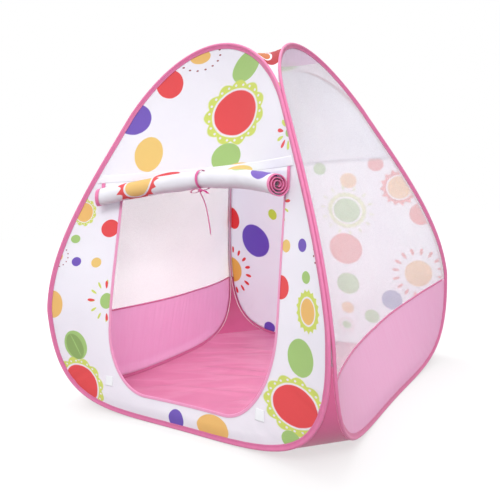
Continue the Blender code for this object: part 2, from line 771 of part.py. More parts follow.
def crossed_sheet(indices, drop, sag_share=0.0):
    """Cloth over the tent's whole plan: runs across each corner and a middle.

    Level without a sag share; with one, every run sags between its ends by that share of
    its length, and the middle lies in line with the longest runs.
    """
    mesh = bmesh.new()
    middle = []
    for angle in CORNERS.values():
        turn = Matrix.Rotation(math.radians(angle), 4, "Z")
        rows = []
        for index in indices:
            start, end = corner_run(index, drop)
            length = (end - start).length
            if length > NARROWEST_RUN:
                places = [start, end]
                if sag_share:
                    places.insert(1, start.lerp(end, 1 / 2) - Vector((0, 0, length * sag_share)))
                rows.append([mesh.verts.new(turn @ place) for place in places])
        for inner, outer in zip(rows, rows[1:]):
            for left, right in zip(range(len(inner)), range(1, len(inner))):
                mesh.faces.new((inner[left], outer[left], outer[right], inner[right]))
        middle += rows[0]
    if sag_share:
        centre = mesh.verts.new((0, 0, min(vert.co.z for vert in middle)))
        for index, corner in enumerate(middle):
            mesh.faces.new((corner, middle[(index + 1) % len(middle)], centre))
    else:
        mesh.faces.new(middle)
    bmesh.ops.recalc_face_normals(mesh, faces=mesh.faces)
    return mesh


def make_floor(materials):
    mesh = crossed_sheet(range(FLOOR_RUNS + 1), FLOOR_DROP)
    add_sheet("floor", mesh, materials["floor"])


def make_roof(materials):
    mesh = crossed_sheet(range(len(HALF) - 1, FOOT_STEPS + CORNER_STEPS - 1, -1), 0, ROOF_SAG_SHARE)
    add_sheet("roof", mesh, materials["print"])


def make_corner_seam(corner, angle, materials):
    """Strip inside a corner, from one hoop's tape to the next, down the sewn length."""
    mesh = bmesh.new()
    rows = []
    mirror = Matrix(((0, -1, 0), (-1, 0, 0), (0, 0, 1)))
    for point, inward, outward in FRAMES[FOOT_STEPS:FOOT_STEPS + CORNER_STEPS + 1]:
        start = point + inward * SEAM_SIT - outward * (LEG_OUTSIDE + SEAM_CLEARANCE)
        rows.append([mesh.verts.new(start), mesh.verts.new(mirror @ start)])
    for low, high in zip(rows, rows[1:]):
        mesh.faces.new((low[0], low[1], high[1], high[0]))
    mesh.normal_update()
    add_sheet(f"corner_seam_{corner}", mesh, materials["binding"], angle, TAPE_WALL)


def make_hinge(name, corner_angle, reach, height):
    """Empty on a corner's hinge line, its Z along the line."""
    turn = Matrix.Rotation(math.radians(corner_angle), 4, "Z")
    lean = Vector((-HINGE_LEAN_SHARE, HINGE_LEAN_SHARE, 1)).normalized()
    rotation = lean.to_track_quat("Z", "Y").to_matrix().to_4x4()
    empty = bpy.data.objects.new(name, None)
    empty.empty_display_size = TAPE_WIDTH
    empty.matrix_world = turn @ Matrix.Translation((reach, -reach, height)) @ rotation
    bpy.data.collections["play_tent"].objects.link(empty)
    return empty


def hang(names, empty):
    """Parent pieces to a hinge where they stand."""
    bpy.context.view_layer.update()
    for name in names:
        item = bpy.data.objects[name]
        item.parent = empty
        item.matrix_parent_inverse = empty.matrix_world.inverted()


def main():
    clear_scene()
    collection = bpy.data.collections.new("play_tent")
    bpy.context.scene.collection.children.link(collection)
    materials = {
        "steel": make_material("spring_steel", STEEL, 0.35, 1.0),
        "crimp": make_material("crimp_steel", STEEL, 0.45, 1.0),
        "binding": make_material("bias_tape", PINK, 0.55),
        "print": make_material("printed_cloth", WHITE_PRINT, 0.75),
        "plain": make_material("plain_cloth", WHITE_PRINT, 0.75),
        "sheer": make_material("sheer_cloth", SHEER_WHITE, 0.6, 0.0, 0.45),
        "skirt": make_material("skirt_cloth", SKIRT_PINK, 0.7),
        "floor": make_material("floor_cloth", FLOOR_PINK, 0.6),
        "ribbon": make_material("ribbon", PINK, 0.5),
        "patch": make_material("hook_and_loop", WHITE_PRINT, 0.9),
    }
    for side, angle in SIDES.items():
        make_hoop(side, angle, materials)
    for side in ("left", "right"):
        make_side_wall(side, SIDES[side], materials)
    make_back_wall(SIDES["back"], materials)
    tree = make_front_wall(materials)
    make_flap(tree, materials)
    make_tie(tree, materials)
    for corner, angle in CORNERS.items():
        make_gusset(corner, angle, materials)
        make_corner_seam(corner, angle, materials)
    make_floor(materials)
    make_roof(materials)

    outside = WIDE_REACH + OPENING_HINGE_STANDOFF
    inside = WIDE_REACH - CLOSING_HINGE_INSET
    low = WIDE_HEIGHT - CLOSING_HINGE_DROP
    right = make_hinge("right_hinge", CORNERS["front_right"], outside, WIDE_HEIGHT)
    left = make_hinge("left_hinge", CORNERS["front_left"], inside, low)
    back = make_hinge("back_hinge", CORNERS["back_right"], inside, low)
    for side, empty in (("right", right), ("left", left)):
        pieces = ("wire", "crimp", "sleeve", "sheer", "skirt", "skirt_tape")
        hang([f"{piece}_{side}" for piece in pieces], empty)
    hang(["wire_back", "crimp_back", "sleeve_back", "back_upper", "back_wall", "back_seam"], back)


main()
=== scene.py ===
"""Kids pop-up play tent: cloth, bias tape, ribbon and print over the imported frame."""

import math

import bmesh
import bpy
from mathutils import Matrix, Vector, noise
from mathutils.bvhtree import BVHTree


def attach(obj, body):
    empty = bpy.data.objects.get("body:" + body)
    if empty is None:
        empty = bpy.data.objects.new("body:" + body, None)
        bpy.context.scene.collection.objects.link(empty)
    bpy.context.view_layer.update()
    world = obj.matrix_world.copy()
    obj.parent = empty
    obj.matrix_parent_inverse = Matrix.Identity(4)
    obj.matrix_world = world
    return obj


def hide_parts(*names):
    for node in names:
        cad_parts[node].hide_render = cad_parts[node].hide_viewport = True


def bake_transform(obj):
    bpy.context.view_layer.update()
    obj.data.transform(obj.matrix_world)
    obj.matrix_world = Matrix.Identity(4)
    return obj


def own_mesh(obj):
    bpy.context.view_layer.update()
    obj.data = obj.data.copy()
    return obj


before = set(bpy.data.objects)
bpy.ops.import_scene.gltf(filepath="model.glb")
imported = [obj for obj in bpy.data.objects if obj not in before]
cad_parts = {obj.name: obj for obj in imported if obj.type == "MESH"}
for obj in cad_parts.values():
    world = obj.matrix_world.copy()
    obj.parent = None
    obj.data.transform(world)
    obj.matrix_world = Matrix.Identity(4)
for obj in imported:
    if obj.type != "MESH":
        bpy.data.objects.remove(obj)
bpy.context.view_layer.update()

# Form of the hoops and their walls, in metres, as in the part's source
TENT_HEIGHT = 1.0
FOOT_REACH = 0.416
WIDE_HEIGHT = 0.290
WIDE_REACH = 0.455
SHOULDER_HEIGHT = 0.830
SHOULDER_REACH = 0.259
CREST_REACH = 0.177
FOOT_HANDLE_SHARE = 0.64
CORNER_HANDLE_SHARES = (0.067, 0.557)
CREST_HANDLE_SHARE = 0.63
WIRE_RADIUS = 0.0015
TAPE_RADIUS = 0.0045
TAPE_WIDTH = 0.0130
TUBE_GAP = 0.0003
WIRE_REST = TAPE_RADIUS * 0.853
CLOTH_INSET = 0.0052
SADDLE_DEPTH = 0.130
WALL_CENTRE_HEIGHT = 0.420
SIGHT_SHARE = 0.93
SKIRT_HEIGHT = 0.240
BACK_SEAM_HEIGHT = 0.680
BACK_BAND_WIDTH = 0.012

# Finer form of cloth, tapes and seams
CLOTH = 0.0006
TAPE_LEG = 0.0011
TAPE_COVER = 0.0110
BEAD = 0.0036
SKIRT_TAPE_WIDTH = 0.005
SEAM_SPLIT = 0.0002
FLOOR_GAP = 0.0012
FLOOR_DROP = WIRE_REST - 0.0014
ROOF_GAP = 0.0034
ROOF_SAG_SHARE = 0.15
SKIRT_PLEAT = 0.0016
CORNER_SEAM_WIDTH = 0.02
CORNER_SEAM_DROP = 0.055

# Plane of each side's skirt seam, before the wall is turned to its side: a point and the way up
SEAM_PLANES = {
    "left": (Vector((0, 0, 0.246)), Vector((-0.017, 0, 1))),
    "right": (Vector((0, -0.36, 0.198)), Vector((-0.073, 0.42, 1))),
}

# Door, its band, and the rolled flap
DOOR_MIDDLE = 0.017
DOOR_HALF_WIDTH = 0.275
DOOR_BOTTOM = 0.071
DOOR_TOP = 0.622
DOOR_LEFT_CORNER = (0.140, 0.170)
DOOR_RIGHT_CORNER = (0.150, 0.250)
DOOR_UPPER_RADIUS = 0.030
DOOR_SIGHT_HEIGHT = 0.340
DOOR_TAPE_WIDTH = 0.012
BAND_BOTTOM = 0.645
BAND_TOP = 0.668
BAND_LIFT = 0.0010
BAND_THICKNESS = 0.0007
PATCH_REACH = 0.252
PATCH_HEIGHT = 0.092
PATCH_SIZE = 0.026
PATCH_THICKNESS = 0.0013
FLAP_HALF_LENGTH = 0.314
FLAP_EDGE_WIDTH = 0.009
FLAP_EDGE_THICKNESS = 0.0022
FLAP_STANDOFF = 0.0032
ROLL_HEIGHT = 0.626
ROLL_SAG = 0.025
ROLL_RADIUS = 0.0270
ROLL_PITCH = 0.0068
ROLL_TURNS = 3.2
ROLL_STEPS = 30
PINCH_SHARE = 0.13
PINCH_REACH = 0.035
RIBBON_WIDTH = 0.008
RIBBON = 0.0006
RIBBON_CUP = 0.0004
TIE_REACH = 0.004
TIE_RISE = 0.003
KNOT_RADIUS = 0.0062
BOW_LENGTH = 0.027
BOW_HEIGHT = 0.009
BOW_DROOP = 0.003
TAIL_DROP = 0.118

# Stitches of the tape, and the doubled band of net along a side wall's crest
STITCH_PITCH = 0.0032
STITCH_HALF_WIDTH = 0.0005
STITCH_SHARE = 0.72
CREST_BAND_HEIGHT = 0.9427
CREST_BAND_SLOPE = -0.222

# Studio floor: its glow grows away from the tent, as the paper's does in the photo
STAGE_RADIUS = 9.0
STAGE_DROP = 0.0006
PAPER_GREY = (0.30, 0.30, 0.30, 1.0)
PAPER_GLOW = 0.63
PAPER_GLOW_GROWTH = 0.13
PURE_WHITE = (1.0, 1.0, 1.0, 1.0)

# Camera of the photo
PHOTO_PIXELS = 500.0
FOCAL_PIXELS = 515.0
SENSOR_WIDTH = 36.0
CAMERA_PLACE = (0.8812, -1.3423, 0.5864)
CAMERA_RIGHT = Vector((0.82821, 0.55727, -0.05937))
CAMERA_UP = Vector((-0.01021, 0.12092, 0.99261))

# Samples once round a hoop, and rows of cloth from its edge inwards
ROUND = 480
WALL_ROWS = 54
FRONT_ROWS = 44

SIDES = {"front": 0.0, "right": 90.0, "back": 180.0, "left": 270.0}
UPRIGHT = Vector((0, 0, 1))


def smooth(share):
    """Ease from 0 to 1."""
    share = min(max(share, 0.0), 1.0)
    return share * share * (3 - 2 * share)


def shares(count):
    """Even steps from 0 to 1."""
    return [step / count for step in range(count + 1)]


def ripple(place, size, seed=0.0):
    """Even, seeded unevenness between about -1 and 1."""
    return noise.noise(place / size + Vector((seed, seed * 0.7, -seed)))


def bezier(handles, share):
    """Point of a cubic curve."""
    rest = 1 - share
    weights = (rest ** 3, 3 * rest ** 2 * share, 3 * rest * share ** 2, share ** 3)
    return sum((handle * weight for handle, weight in zip(handles, weights)), Vector((0, 0, 0)))


def hoop_curves():
    """Foot, corner and crest of half a hoop, as (half width, reach, height) cubics."""
    inset = (2 * TAPE_RADIUS + TUBE_GAP) / math.sqrt(2)
    wide = Vector((WIDE_REACH - inset, WIDE_REACH, WIDE_HEIGHT))
    shoulder = Vector((SHOULDER_REACH - inset, SHOULDER_REACH, SHOULDER_HEIGHT))
    foot = (
        Vector((0, FOOT_REACH, WIRE_REST)),
        Vector((WIDE_REACH * FOOT_HANDLE_SHARE, FOOT_REACH, WIRE_REST)),
        Vector((wide.x, wide.y, WIRE_REST)),
        wide,
    )
    lower = wide.lerp(shoulder, CORNER_HANDLE_SHARES[0])
    lower.z = WIDE_HEIGHT + (SHOULDER_HEIGHT - WIDE_HEIGHT) / 3
    upper = wide.lerp(shoulder, CORNER_HANDLE_SHARES[1])
    upper.z = WIDE_HEIGHT + (SHOULDER_HEIGHT - WIDE_HEIGHT) * 2 / 3
    rising = shoulder.lerp(upper, -1 / 25)
    highest = TENT_HEIGHT - TAPE_RADIUS
    crest = (
        shoulder,
        rising,
        Vector((SHOULDER_REACH * CREST_HANDLE_SHARE, CREST_REACH, highest)),
        Vector((0, CREST_REACH, highest)),
    )
    return foot, (wide, lower, upper, shoulder), crest


FOOT, CORNER, CREST = hoop_curves()


def fine_half():
    """Many points of half a hoop, from the middle of its foot up to its crest."""
    points = []
    for curve in (FOOT, CORNER, CREST):
        points += [bezier(curve, share) for share in shares(150)[:-1]]
    return points + [CREST[-1]]


PROFILE = fine_half()


def profile_at(height):
    """Half width and reach of a hoop at a height."""
    low = 0
    high = len(PROFILE) - 1
    height = min(max(height, PROFILE[0].z), PROFILE[-1].z)
    while high - low > 1:
        middle = (low + high) // 2
        if PROFILE[middle].z <= height:
            low = middle
        else:
            high = middle
    rise = PROFILE[high].z - PROFILE[low].z
    return PROFILE[low].lerp(PROFILE[high], (height - PROFILE[low].z) / rise if rise > 1e-9 else 0)


def wall_point(across, height):
    """Point of the front wall's saddle: hollow across, bowed up and down."""
    edge = profile_at(height)
    level = height / TENT_HEIGHT
    dip = SADDLE_DEPTH * 4 * level * (1 - level)
    spread = min(abs(across) / max(edge.x, TAPE_RADIUS), 1)
    return Vector((across, dip * (1 - spread ** 2) - edge.y, height))


def distances(points):
    """Distance run along a line at each of its points."""
    run = [0.0]
    for start, end in zip(points, points[1:]):
        step = (end - start).length if isinstance(start, Vector) else math.dist(start, end)
        run.append(run[-1] + step)
    return run


def resample(line, count):
    """Even places once round a closed line."""
    closed = line + [line[0]]
    lengths = distances(closed)
    places = []
    at = 0
    for number in range(count):
        target = lengths[-1] * number / count
        while lengths[at + 1] < target:
            at += 1
        share = (target - lengths[at]) / max(lengths[at + 1] - lengths[at], 1e-9)
        places.append(closed[at].lerp(closed[at + 1], share))
    return places, lengths[-1]


def hoop_loop():
    """Even places once round the front hoop, and its length."""
    right = [Vector((point.x, -point.y, point.z)) for point in PROFILE]
    left = [Vector((-point.x, point.y, point.z)) for point in reversed(right[1:-1])]
    return resample(right + left, ROUND)


HOOP, HOOP_LENGTH = hoop_loop()


def around(points, index):
    """Way along a closed line at one of its points."""
    return (points[(index + 1) % len(points)] - points[index - 1]).normalized()


def hoop_frames():
    """For each hoop point: the point, the way into the cloth and the outward normal."""
    frames = []
    for index, point in enumerate(HOOP):
        along = around(HOOP, index)
        level = WALL_CENTRE_HEIGHT + (point.z - WALL_CENTRE_HEIGHT) * SIGHT_SHARE
        sight = wall_point(point.x * SIGHT_SHARE, level) - point
        inward = (sight - along * sight.dot(along)).normalized()
        frames.append((point, inward, along.cross(inward)))
    return frames


EDGE = hoop_frames()


def in_door(across, height):
    """True inside the door's outline, an upright panel with round corners."""
    lower_reach, lower_rise = DOOR_LEFT_CORNER if across < DOOR_MIDDLE else DOOR_RIGHT_CORNER
    across = abs(across - DOOR_MIDDLE)
    if across > DOOR_HALF_WIDTH or not DOOR_BOTTOM < height < DOOR_TOP:
        return False
    for reach, rise, level in (
        (lower_reach, lower_rise, DOOR_BOTTOM + lower_rise - height),
        (DOOR_UPPER_RADIUS, DOOR_UPPER_RADIUS, height - DOOR_TOP + DOOR_UPPER_RADIUS),
    ):
        beyond = across - DOOR_HALF_WIDTH + reach
        if level > 0 and beyond > 0 and math.hypot(level / rise, beyond / reach) > 1:
            return False
    return True


def door_frames():
    """For each hoop point, the door's edge in line with it, the way out and the normal."""
    loop = []
    for point in HOOP:
        near = 0.0
        far = 1.0
        for _ in range(30):
            share = (near + far) / 2
            if in_door(point.x * share, DOOR_SIGHT_HEIGHT + (point.z - DOOR_SIGHT_HEIGHT) * share):
                near = share
            else:
                far = share
        loop.append(wall_point(point.x * near, DOOR_SIGHT_HEIGHT + (point.z - DOOR_SIGHT_HEIGHT) * near))
    frames = []
    for index, point in enumerate(loop):
        along = around(loop, index)
        aside = Vector((along.z, 0, -along.x)) * DOOR_TAPE_WIDTH * 2
        sight = wall_point(point.x + aside.x, point.z + aside.z) - point
        outward = (sight - along * sight.dot(along)).normalized()
        frames.append((point, outward, outward.cross(along)))
    return frames


DOOR = door_frames()


def ruffle(index, depth, seed):
    """How far a sewn edge waves out of its plane, at a depth into the cloth."""
    point = HOOP[index]
    gathered = smooth((point.z - 0.006) / 0.03) * (1 - smooth((point.z - 0.10) / 0.15))
    size = 0.0004 + 0.0016 * gathered
    rise = min(depth / TAPE_WIDTH, 1) ** 2
    fall = math.exp(-max(depth - TAPE_WIDTH, 0) / 0.045)
    return size * rise * fall * (ripple(point, 0.022, seed) + 0.6 * ripple(point, 0.011, seed))


def slack(across, height, seed):
    """Slow waves of the taut cloth between its edges."""
    place = Vector((across, height, 0))
    return 0.0040 * ripple(place, 0.22, seed) + 0.0012 * ripple(place, 0.07, seed + 3)


# Making of sheets


def cloth_grid(columns, rows, place, pattern):
    """A sheet over a grid: place(u, v) is a point, pattern(u, v) its place in the cloth."""
    mesh = bmesh.new()
    bmesh.ops.create_grid(mesh, x_segments=columns, y_segments=rows, size=0.5)
    weave = mesh.loops.layers.uv.new("weave")
    for face in mesh.faces:
        for loop in face.loops:
            loop[weave].uv = pattern(loop.vert.co.x + 0.5, loop.vert.co.y + 0.5)
    for vert in mesh.verts:
        vert.co = place(vert.co.x + 0.5, vert.co.y + 0.5)
    return mesh


def close_up(mesh):
    """Join the points of a sheet that lie on each other."""
    bmesh.ops.remove_doubles(mesh, verts=mesh.verts, dist=0.00004)
    return mesh


def cut(mesh, place, normal):
    """Cut a sheet at a plane and drop what lies beyond it."""
    geometry = mesh.verts[:] + mesh.edges[:] + mesh.faces[:]
    bmesh.ops.bisect_plane(
        mesh, geom=geometry, dist=0.00001, plane_co=place, plane_no=normal, clear_outer=True
    )
    return mesh


def finish_piece(part, mesh, finish, body, thickness=CLOTH, name=None, angle=0.0):
    """Make a mesh, drawn as on the front wall, the piece that takes the place of a part."""
    angle = SIDES.get(body, angle)
    if angle:
        turn = Matrix.Rotation(math.radians(angle), 3, "Z")
        bmesh.ops.rotate(mesh, verts=mesh.verts, cent=(0, 0, 0), matrix=turn)
    name = name or f"fine_{part}"
    data = bpy.data.meshes.new(name)
    mesh.to_mesh(data)
    mesh.free()
    data.shade_smooth()
    data.materials.append(finish)
    piece = bpy.data.objects.new(name, data)
    bpy.context.scene.collection.objects.link(piece)
    if thickness:
        wall = piece.modifiers.new("cloth", "SOLIDIFY")
        wall.thickness = thickness
        wall.offset = 0.0
        wall.use_even_offset = False
    if body:
        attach(piece, body)
    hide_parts(part)
    return piece


def round_sheet(rows, place, pattern):
    """A sheet in rings round a wall; place and pattern take a hoop index and a share."""
    mesh = cloth_grid(
        ROUND,
        rows,
        lambda u, v: place(round(u * ROUND) % ROUND, v),
        lambda u, v: pattern(round(u * ROUND), v),
    )
    return close_up(mesh)


def wall_place(index, share, seed, pleat=0.0):
    """Point of a plain wall's cloth, from the tape inwards to the middle of the wall."""
    point, inward, outward = EDGE[index]
    reach = math.hypot(point.x, point.z - WALL_CENTRE_HEIGHT)
    depth = CLOTH_INSET + (reach - CLOTH_INSET) * share ** 1.35
    inner = 1 - depth / reach
    across = point.x * inner
    height = WALL_CENTRE_HEIGHT + (point.z - WALL_CENTRE_HEIGHT) * inner
    saddle = wall_point(across, height)
    place = (point + inward * depth).lerp(saddle, smooth((depth - TAPE_WIDTH) / 0.05))
    place += outward * ruffle(index, depth, seed)
    loose = smooth((depth - TAPE_WIDTH) / 0.09)
    place.y -= loose * slack(across, height, seed)
    if pleat:
        line = Vector((across / 0.012, height / 0.16, seed))
        low = smooth((SKIRT_HEIGHT + 0.02 - height) / 0.04)
        place.y -= pleat * loose * low * noise.noise(line)
    return place


def wall_sheet(seed, pleat=0.0):
    """A whole plain wall's cloth, up to the hoop's tape."""

    def place(index, v):
        return wall_place(index % ROUND, v, seed, pleat)

    return round_sheet(WALL_ROWS, place, lambda index, v: place(index, v).xz)


def front_share(v):
    """Rows lie closer together beside the hoop's tape and the door's."""
    return v - math.sin(2 * math.pi * v) * 0.6 / (2 * math.pi)


def front_place(index, v):
    """Point of the front wall's cloth between the hoop and the door's edge."""
    point, inward, outward = EDGE[index]
    door, away, normal = DOOR[index]
    total = (door - point).length
    share = front_share(v)
    depth = CLOTH_INSET + (total - CLOTH_INSET - 0.0012) * share
    left = total - depth
    straight = point.lerp(door, depth / total)
    saddle = wall_point(straight.x, straight.z)
    place = saddle.copy()
    at_hoop = 1 - smooth((depth - TAPE_WIDTH) / 0.035)
    at_door = 1 - smooth((left - DOOR_TAPE_WIDTH) / 0.030)
    if at_hoop:
        place += (point + inward * depth - saddle) * at_hoop
    if at_door:
        place += (door + away * left - saddle) * at_door
    place += outward * ruffle(index, depth, 1.0) * smooth((left - DOOR_TAPE_WIDTH) / 0.03)
    loose = smooth((depth - TAPE_WIDTH) / 0.07) * smooth((left - DOOR_TAPE_WIDTH) / 0.06)
    place.y -= loose * slack(place.x, place.z, 1.0)
    return place


def sewn_share(point):
    """1 where a hoop runs beside its neighbour at a corner, 0 at its foot and crest."""
    low = smooth((point.z - WIDE_HEIGHT + 0.02) / 0.06)
    return low * (1 - smooth((point.z - SHOULDER_HEIGHT + 0.03) / 0.05))


def tape_sheet(path, travel, spot):
    """A tape in rings: the path of its section, and how far on it is at each point of a hoop."""
    last = len(path) - 1
    lengths = distances(path)
    middle = lengths[-1] / 2
    return round_sheet(
        last,
        lambda index, v: spot(index, *path[round(v * last)]),
        lambda index, v: (travel[index], lengths[round(v * last)] - middle),
    )


def folded_tape(seed, narrow_end):
    """Bias tape folded round the wire and sewn through to the wall's edge.

    Neighbouring folds touch at the corners; narrow_end is the end, 1 or -1 across, where the
    outer leg is drawn in under its neighbour.
    """
    path = [(TAPE_COVER, TAPE_LEG), (0.0095, TAPE_LEG), (0.0075, TAPE_LEG)]
    path.append((0.0058, TAPE_LEG + 0.0001))
    for degrees in (42, 66, 90, 115, 140, 162):
        turn = math.radians(degrees)
        path.append((BEAD * math.cos(turn), BEAD * math.sin(turn)))
    inside = [(min(into, 0.0055 + (into - 0.0055) * 0.25), -out) for into, out in reversed(path)]

    def spot(index, into, out):
        point, inward, outward = EDGE[index]
        flutter = ruffle(index, into, seed) if into > 0 else 0.0
        edge = 0.0005 * ripple(point, 0.03, seed + 5) * smooth((into - 0.008) / 0.005)
        sewn = sewn_share(point)
        if point.x * narrow_end > 0 and into > 0.0058 and out > 0:
            into -= (into - 0.0058) * 0.62 * sewn
        nearer = Vector((math.copysign(1, point.x), 1, 0)).normalized() * 0.00095
        drawn = nearer * sewn * (1 - smooth((into - 0.0020) / 0.0035))
        return point + inward * (into + edge) + outward * (out + flutter) + drawn

    travel = [index / ROUND * HOOP_LENGTH for index in range(ROUND + 1)]
    mesh = tape_sheet(path + [(-BEAD, 0.0)] + inside, travel, spot)
    bmesh.ops.reverse_faces(mesh, faces=mesh.faces)
    return mesh


def door_tape():
    """Bias tape folded round the doorway's edge."""
    path = [(0.0072, TAPE_LEG), (0.0060, TAPE_LEG), (0.004, TAPE_LEG), (0.002, TAPE_LEG + 0.0002)]
    path += [(0.0006, 0.0012), (0.0, 0.0007)]
    inside = [(into, -out) for into, out in reversed(path)]

    def spot(index, into, out):
        point, away, normal = DOOR[index]
        return point + away * into + normal * out

    travel = distances([point for point, _, _ in DOOR + DOOR[:1]])
    return tape_sheet(path + [(-0.0002, 0.0)] + inside, travel, spot)


def tube(points, radius, sides=8):
    """Closed round bar along a closed line."""
    count = len(points)

    def place(u, v):
        index = round(u * count) % count
        along = around(points, index)
        aside = along.cross(Vector((0, -1, 0.3))).normalized()
        third = aside.cross(along)
        turn = 2 * math.pi * v
        return points[index] + (aside * math.cos(turn) + third * math.sin(turn)) * radius

    mesh = close_up(cloth_grid(count, sides, place, lambda u, v: (u, v)))
    bmesh.ops.recalc_face_normals(mesh, faces=mesh.faces)
    return mesh


def on_cloth(tree, across, height):
    """Point and outward normal of a front-facing sheet."""
    hit, normal, _, _ = tree.ray_cast(Vector((across, -TENT_HEIGHT, height)), Vector((0, 1, 0)))
    if hit is None:
        hit = wall_point(across, height)
        normal = Vector((0, -1, 0))
    if normal.y > 0:
        normal = -normal
    return hit, normal


def strip_on_cloth(tree, columns, rows, spot, lift, wave=0.0, folded=False):
    """A strip laid on a sheet, or folded over both its sides: spot(u, v) gives its place."""

    def place(u, v):
        across, height = spot(u, v)
        hit, normal = on_cloth(tree, across, height)
        if folded and v > 0.5:
            return hit - normal * lift
        return hit + normal * (lift + wave * (0.5 + ripple(Vector((across, height, 0)), 0.02, 2.0)))

    return cloth_grid(columns, rows, place, spot)


# Rolled flap and ribbon


def roll_height(across):
    """Height of the roll's middle line, which sags towards its ends."""
    return ROLL_HEIGHT - ROLL_SAG * (across / FLAP_HALF_LENGTH) ** 2


def flap_station(across):
    """Origin, way out and way up of the flap's section at a distance from the middle."""
    height = roll_height(across)
    top = wall_point(across, BAND_BOTTOM)
    low = wall_point(across, height)
    up = (top - low).normalized()
    slope = wall_point(across + 0.008, height) - wall_point(across - 0.008, height)
    out = slope.cross(up).normalized()
    return top - up * (BAND_BOTTOM - height), out, up


def pinch(across):
    """How much the ribbon narrows the roll."""
    return 1 - PINCH_SHARE * math.exp(-((across - TIE_REACH) / PINCH_REACH) ** 2)


def flap_path(across):
    """Section of the rolled flap at a distance from the middle, as (out, up, length) rows."""
    drop = BAND_BOTTOM - roll_height(across) - 0.0003
    narrow = pinch(across)
    centre = FLAP_STANDOFF + ROLL_RADIUS
    path = [(FLAP_STANDOFF, drop), (FLAP_STANDOFF, drop * 0.7), (FLAP_STANDOFF, drop * 0.35)]
    for step in range(int(ROLL_TURNS * ROLL_STEPS) + 1):
        turn = step / ROLL_STEPS
        angle = math.radians(180.0 + 360.0 * turn)
        round_it = Vector((math.cos(angle) * 0.02, math.sin(angle) * 0.02, across))
        uneven = 1 + 0.05 * ripple(round_it, 0.05, 4.0) + 0.022 * ripple(round_it, 0.017, 6.0)
        radius = (ROLL_RADIUS - ROLL_PITCH * turn) * uneven
        radius *= narrow if turn > 0.2 else 1 - (1 - narrow) * turn / 0.2
        path.append((centre + radius * math.cos(angle), radius * math.sin(angle)))
    return [(out, up, length) for (out, up), length in zip(path, distances(path))]


FLAP_ROWS = len(flap_path(0.0)) - 1


def flap_sheet(start, end, columns):
    """The rolled flap between two distances from the middle."""
    paths = {}

    def at(u, v):
        across = start + (end - start) * u
        key = round(u * columns)
        if key not in paths:
            paths[key] = (flap_path(across), flap_station(across))
        rows, station = paths[key]
        return across, rows[round(v * FLAP_ROWS)], station

    def place(u, v):
        across, (out, up, _), (origin, way_out, way_up) = at(u, v)
        return origin + way_out * out + way_up * up

    def pattern(u, v):
        across, (_, _, length), _ = at(u, v)
        return across, -length

    mesh = cloth_grid(columns, FLAP_ROWS, place, pattern)
    bmesh.ops.reverse_faces(mesh, faces=mesh.faces)
    return mesh


def along_path(points, share):
    """Point of a smooth line through a few points, even in length."""
    lengths = distances(points)
    target = lengths[-1] * share
    at = 0
    while at < len(points) - 2 and lengths[at + 1] < target:
        at += 1
    part = (target - lengths[at]) / max(lengths[at + 1] - lengths[at], 1e-9)
    before = points[max(at - 1, 0)]
    after = points[min(at + 2, len(points) - 1)]
    start = points[at]
    end = points[at + 1]
    square = part * part
    cube = square * part
    return (
        start * (2 * cube - 3 * square + 1) + (end - before) * 0.5 * (cube - 2 * square + part)
        + end * (3 * square - 2 * cube) + (after - start) * 0.5 * (cube - square)
    )


def ribbon_strip(points, rows, across, slant=0.0):
    """A flat ribbon along a line, its edges cupped a little and its end cut on a slant."""
    line = [along_path(points, share) for share in shares(rows)]
    across = Vector(across)

    def place(u, v):
        index = round(v * rows)
        along = (line[min(index + 1, rows)] - line[max(index - 1, 0)]).normalized()
        side = (across - along * across.dot(along)).normalized()
        face = side.cross(along)
        shift = along * slant * (u - 0.5) * RIBBON_WIDTH * smooth((v - 0.9) / 0.1)
        cupped = face * RIBBON_CUP * (2 * u - 1) ** 2
        return line[index] + side * (u - 0.5) * RIBBON_WIDTH + cupped + shift

    total = distances(line)[-1]
    return cloth_grid(6, rows, place, lambda u, v: (v * total, (u - 0.5) * RIBBON_WIDTH))


# Floor, roof and corners


def run_point(curve, turned, share):
    """Point of a hoop's foot or turned crest, counted from its middle outwards."""
    return bezier(curve, 1 - share if turned else share)


def run_spread(curve, turned, share):
    """Spread of the level run that crosses a point of a hoop."""
    point = run_point(curve, turned, share)
    return point.x + point.y


def level_runs(curve, turned):
    """Spread and height of the level runs across a corner, from the middle outwards."""
    points = [run_point(curve, turned, share) for share in shares(240)]
    return [(point.x + point.y, point.z) for point in points]


def level_at(runs, spread):
    """Height of the run across a corner at a spread."""
    if spread <= runs[0][0]:
        return runs[0][1]
    for (near, low), (far, high) in zip(runs, runs[1:]):
        if spread <= far:
            return low + (high - low) * (spread - near) / max(far - near, 1e-9)
    return runs[-1][1]


def plan_sheet(curve, turned, half_steps, gap, drop, relief):
    """Cloth over the plan between the four hoops, level across each corner."""
    runs = level_runs(curve, turned)

    def boundary(part):
        point = run_point(curve, turned, abs(part))
        return math.copysign(point.x, part), point.y - gap

    edges = [boundary(step / half_steps - 1) for step in range(2 * half_steps + 1)]
    corner = (edges[-1][0] + edges[-1][1]) / 2

    def plan(u, v):
        along_x, reach_y = edges[round(u * 2 * half_steps)]
        along_y, reach_x = edges[round(v * 2 * half_steps)]
        x = along_x + (2 * u - 1) * (reach_x - corner)
        y = along_y + (2 * v - 1) * (reach_y - corner)
        return x, y

    def place(u, v):
        x, y = plan(u, v)
        return Vector((x, y, level_at(runs, abs(x) + abs(y) + gap) - drop + relief(x, y)))

    return cloth_grid(2 * half_steps, 2 * half_steps, place, plan)


def keep_within(mesh, spread, gap):
    """Cut the four corners off a plan sheet."""
    for across, along in ((1, 1), (1, -1), (-1, 1), (-1, -1)):
        normal = Vector((across, along, 0)).normalized()
        cut(mesh, normal * (spread - gap) / math.sqrt(2), normal)
    return mesh


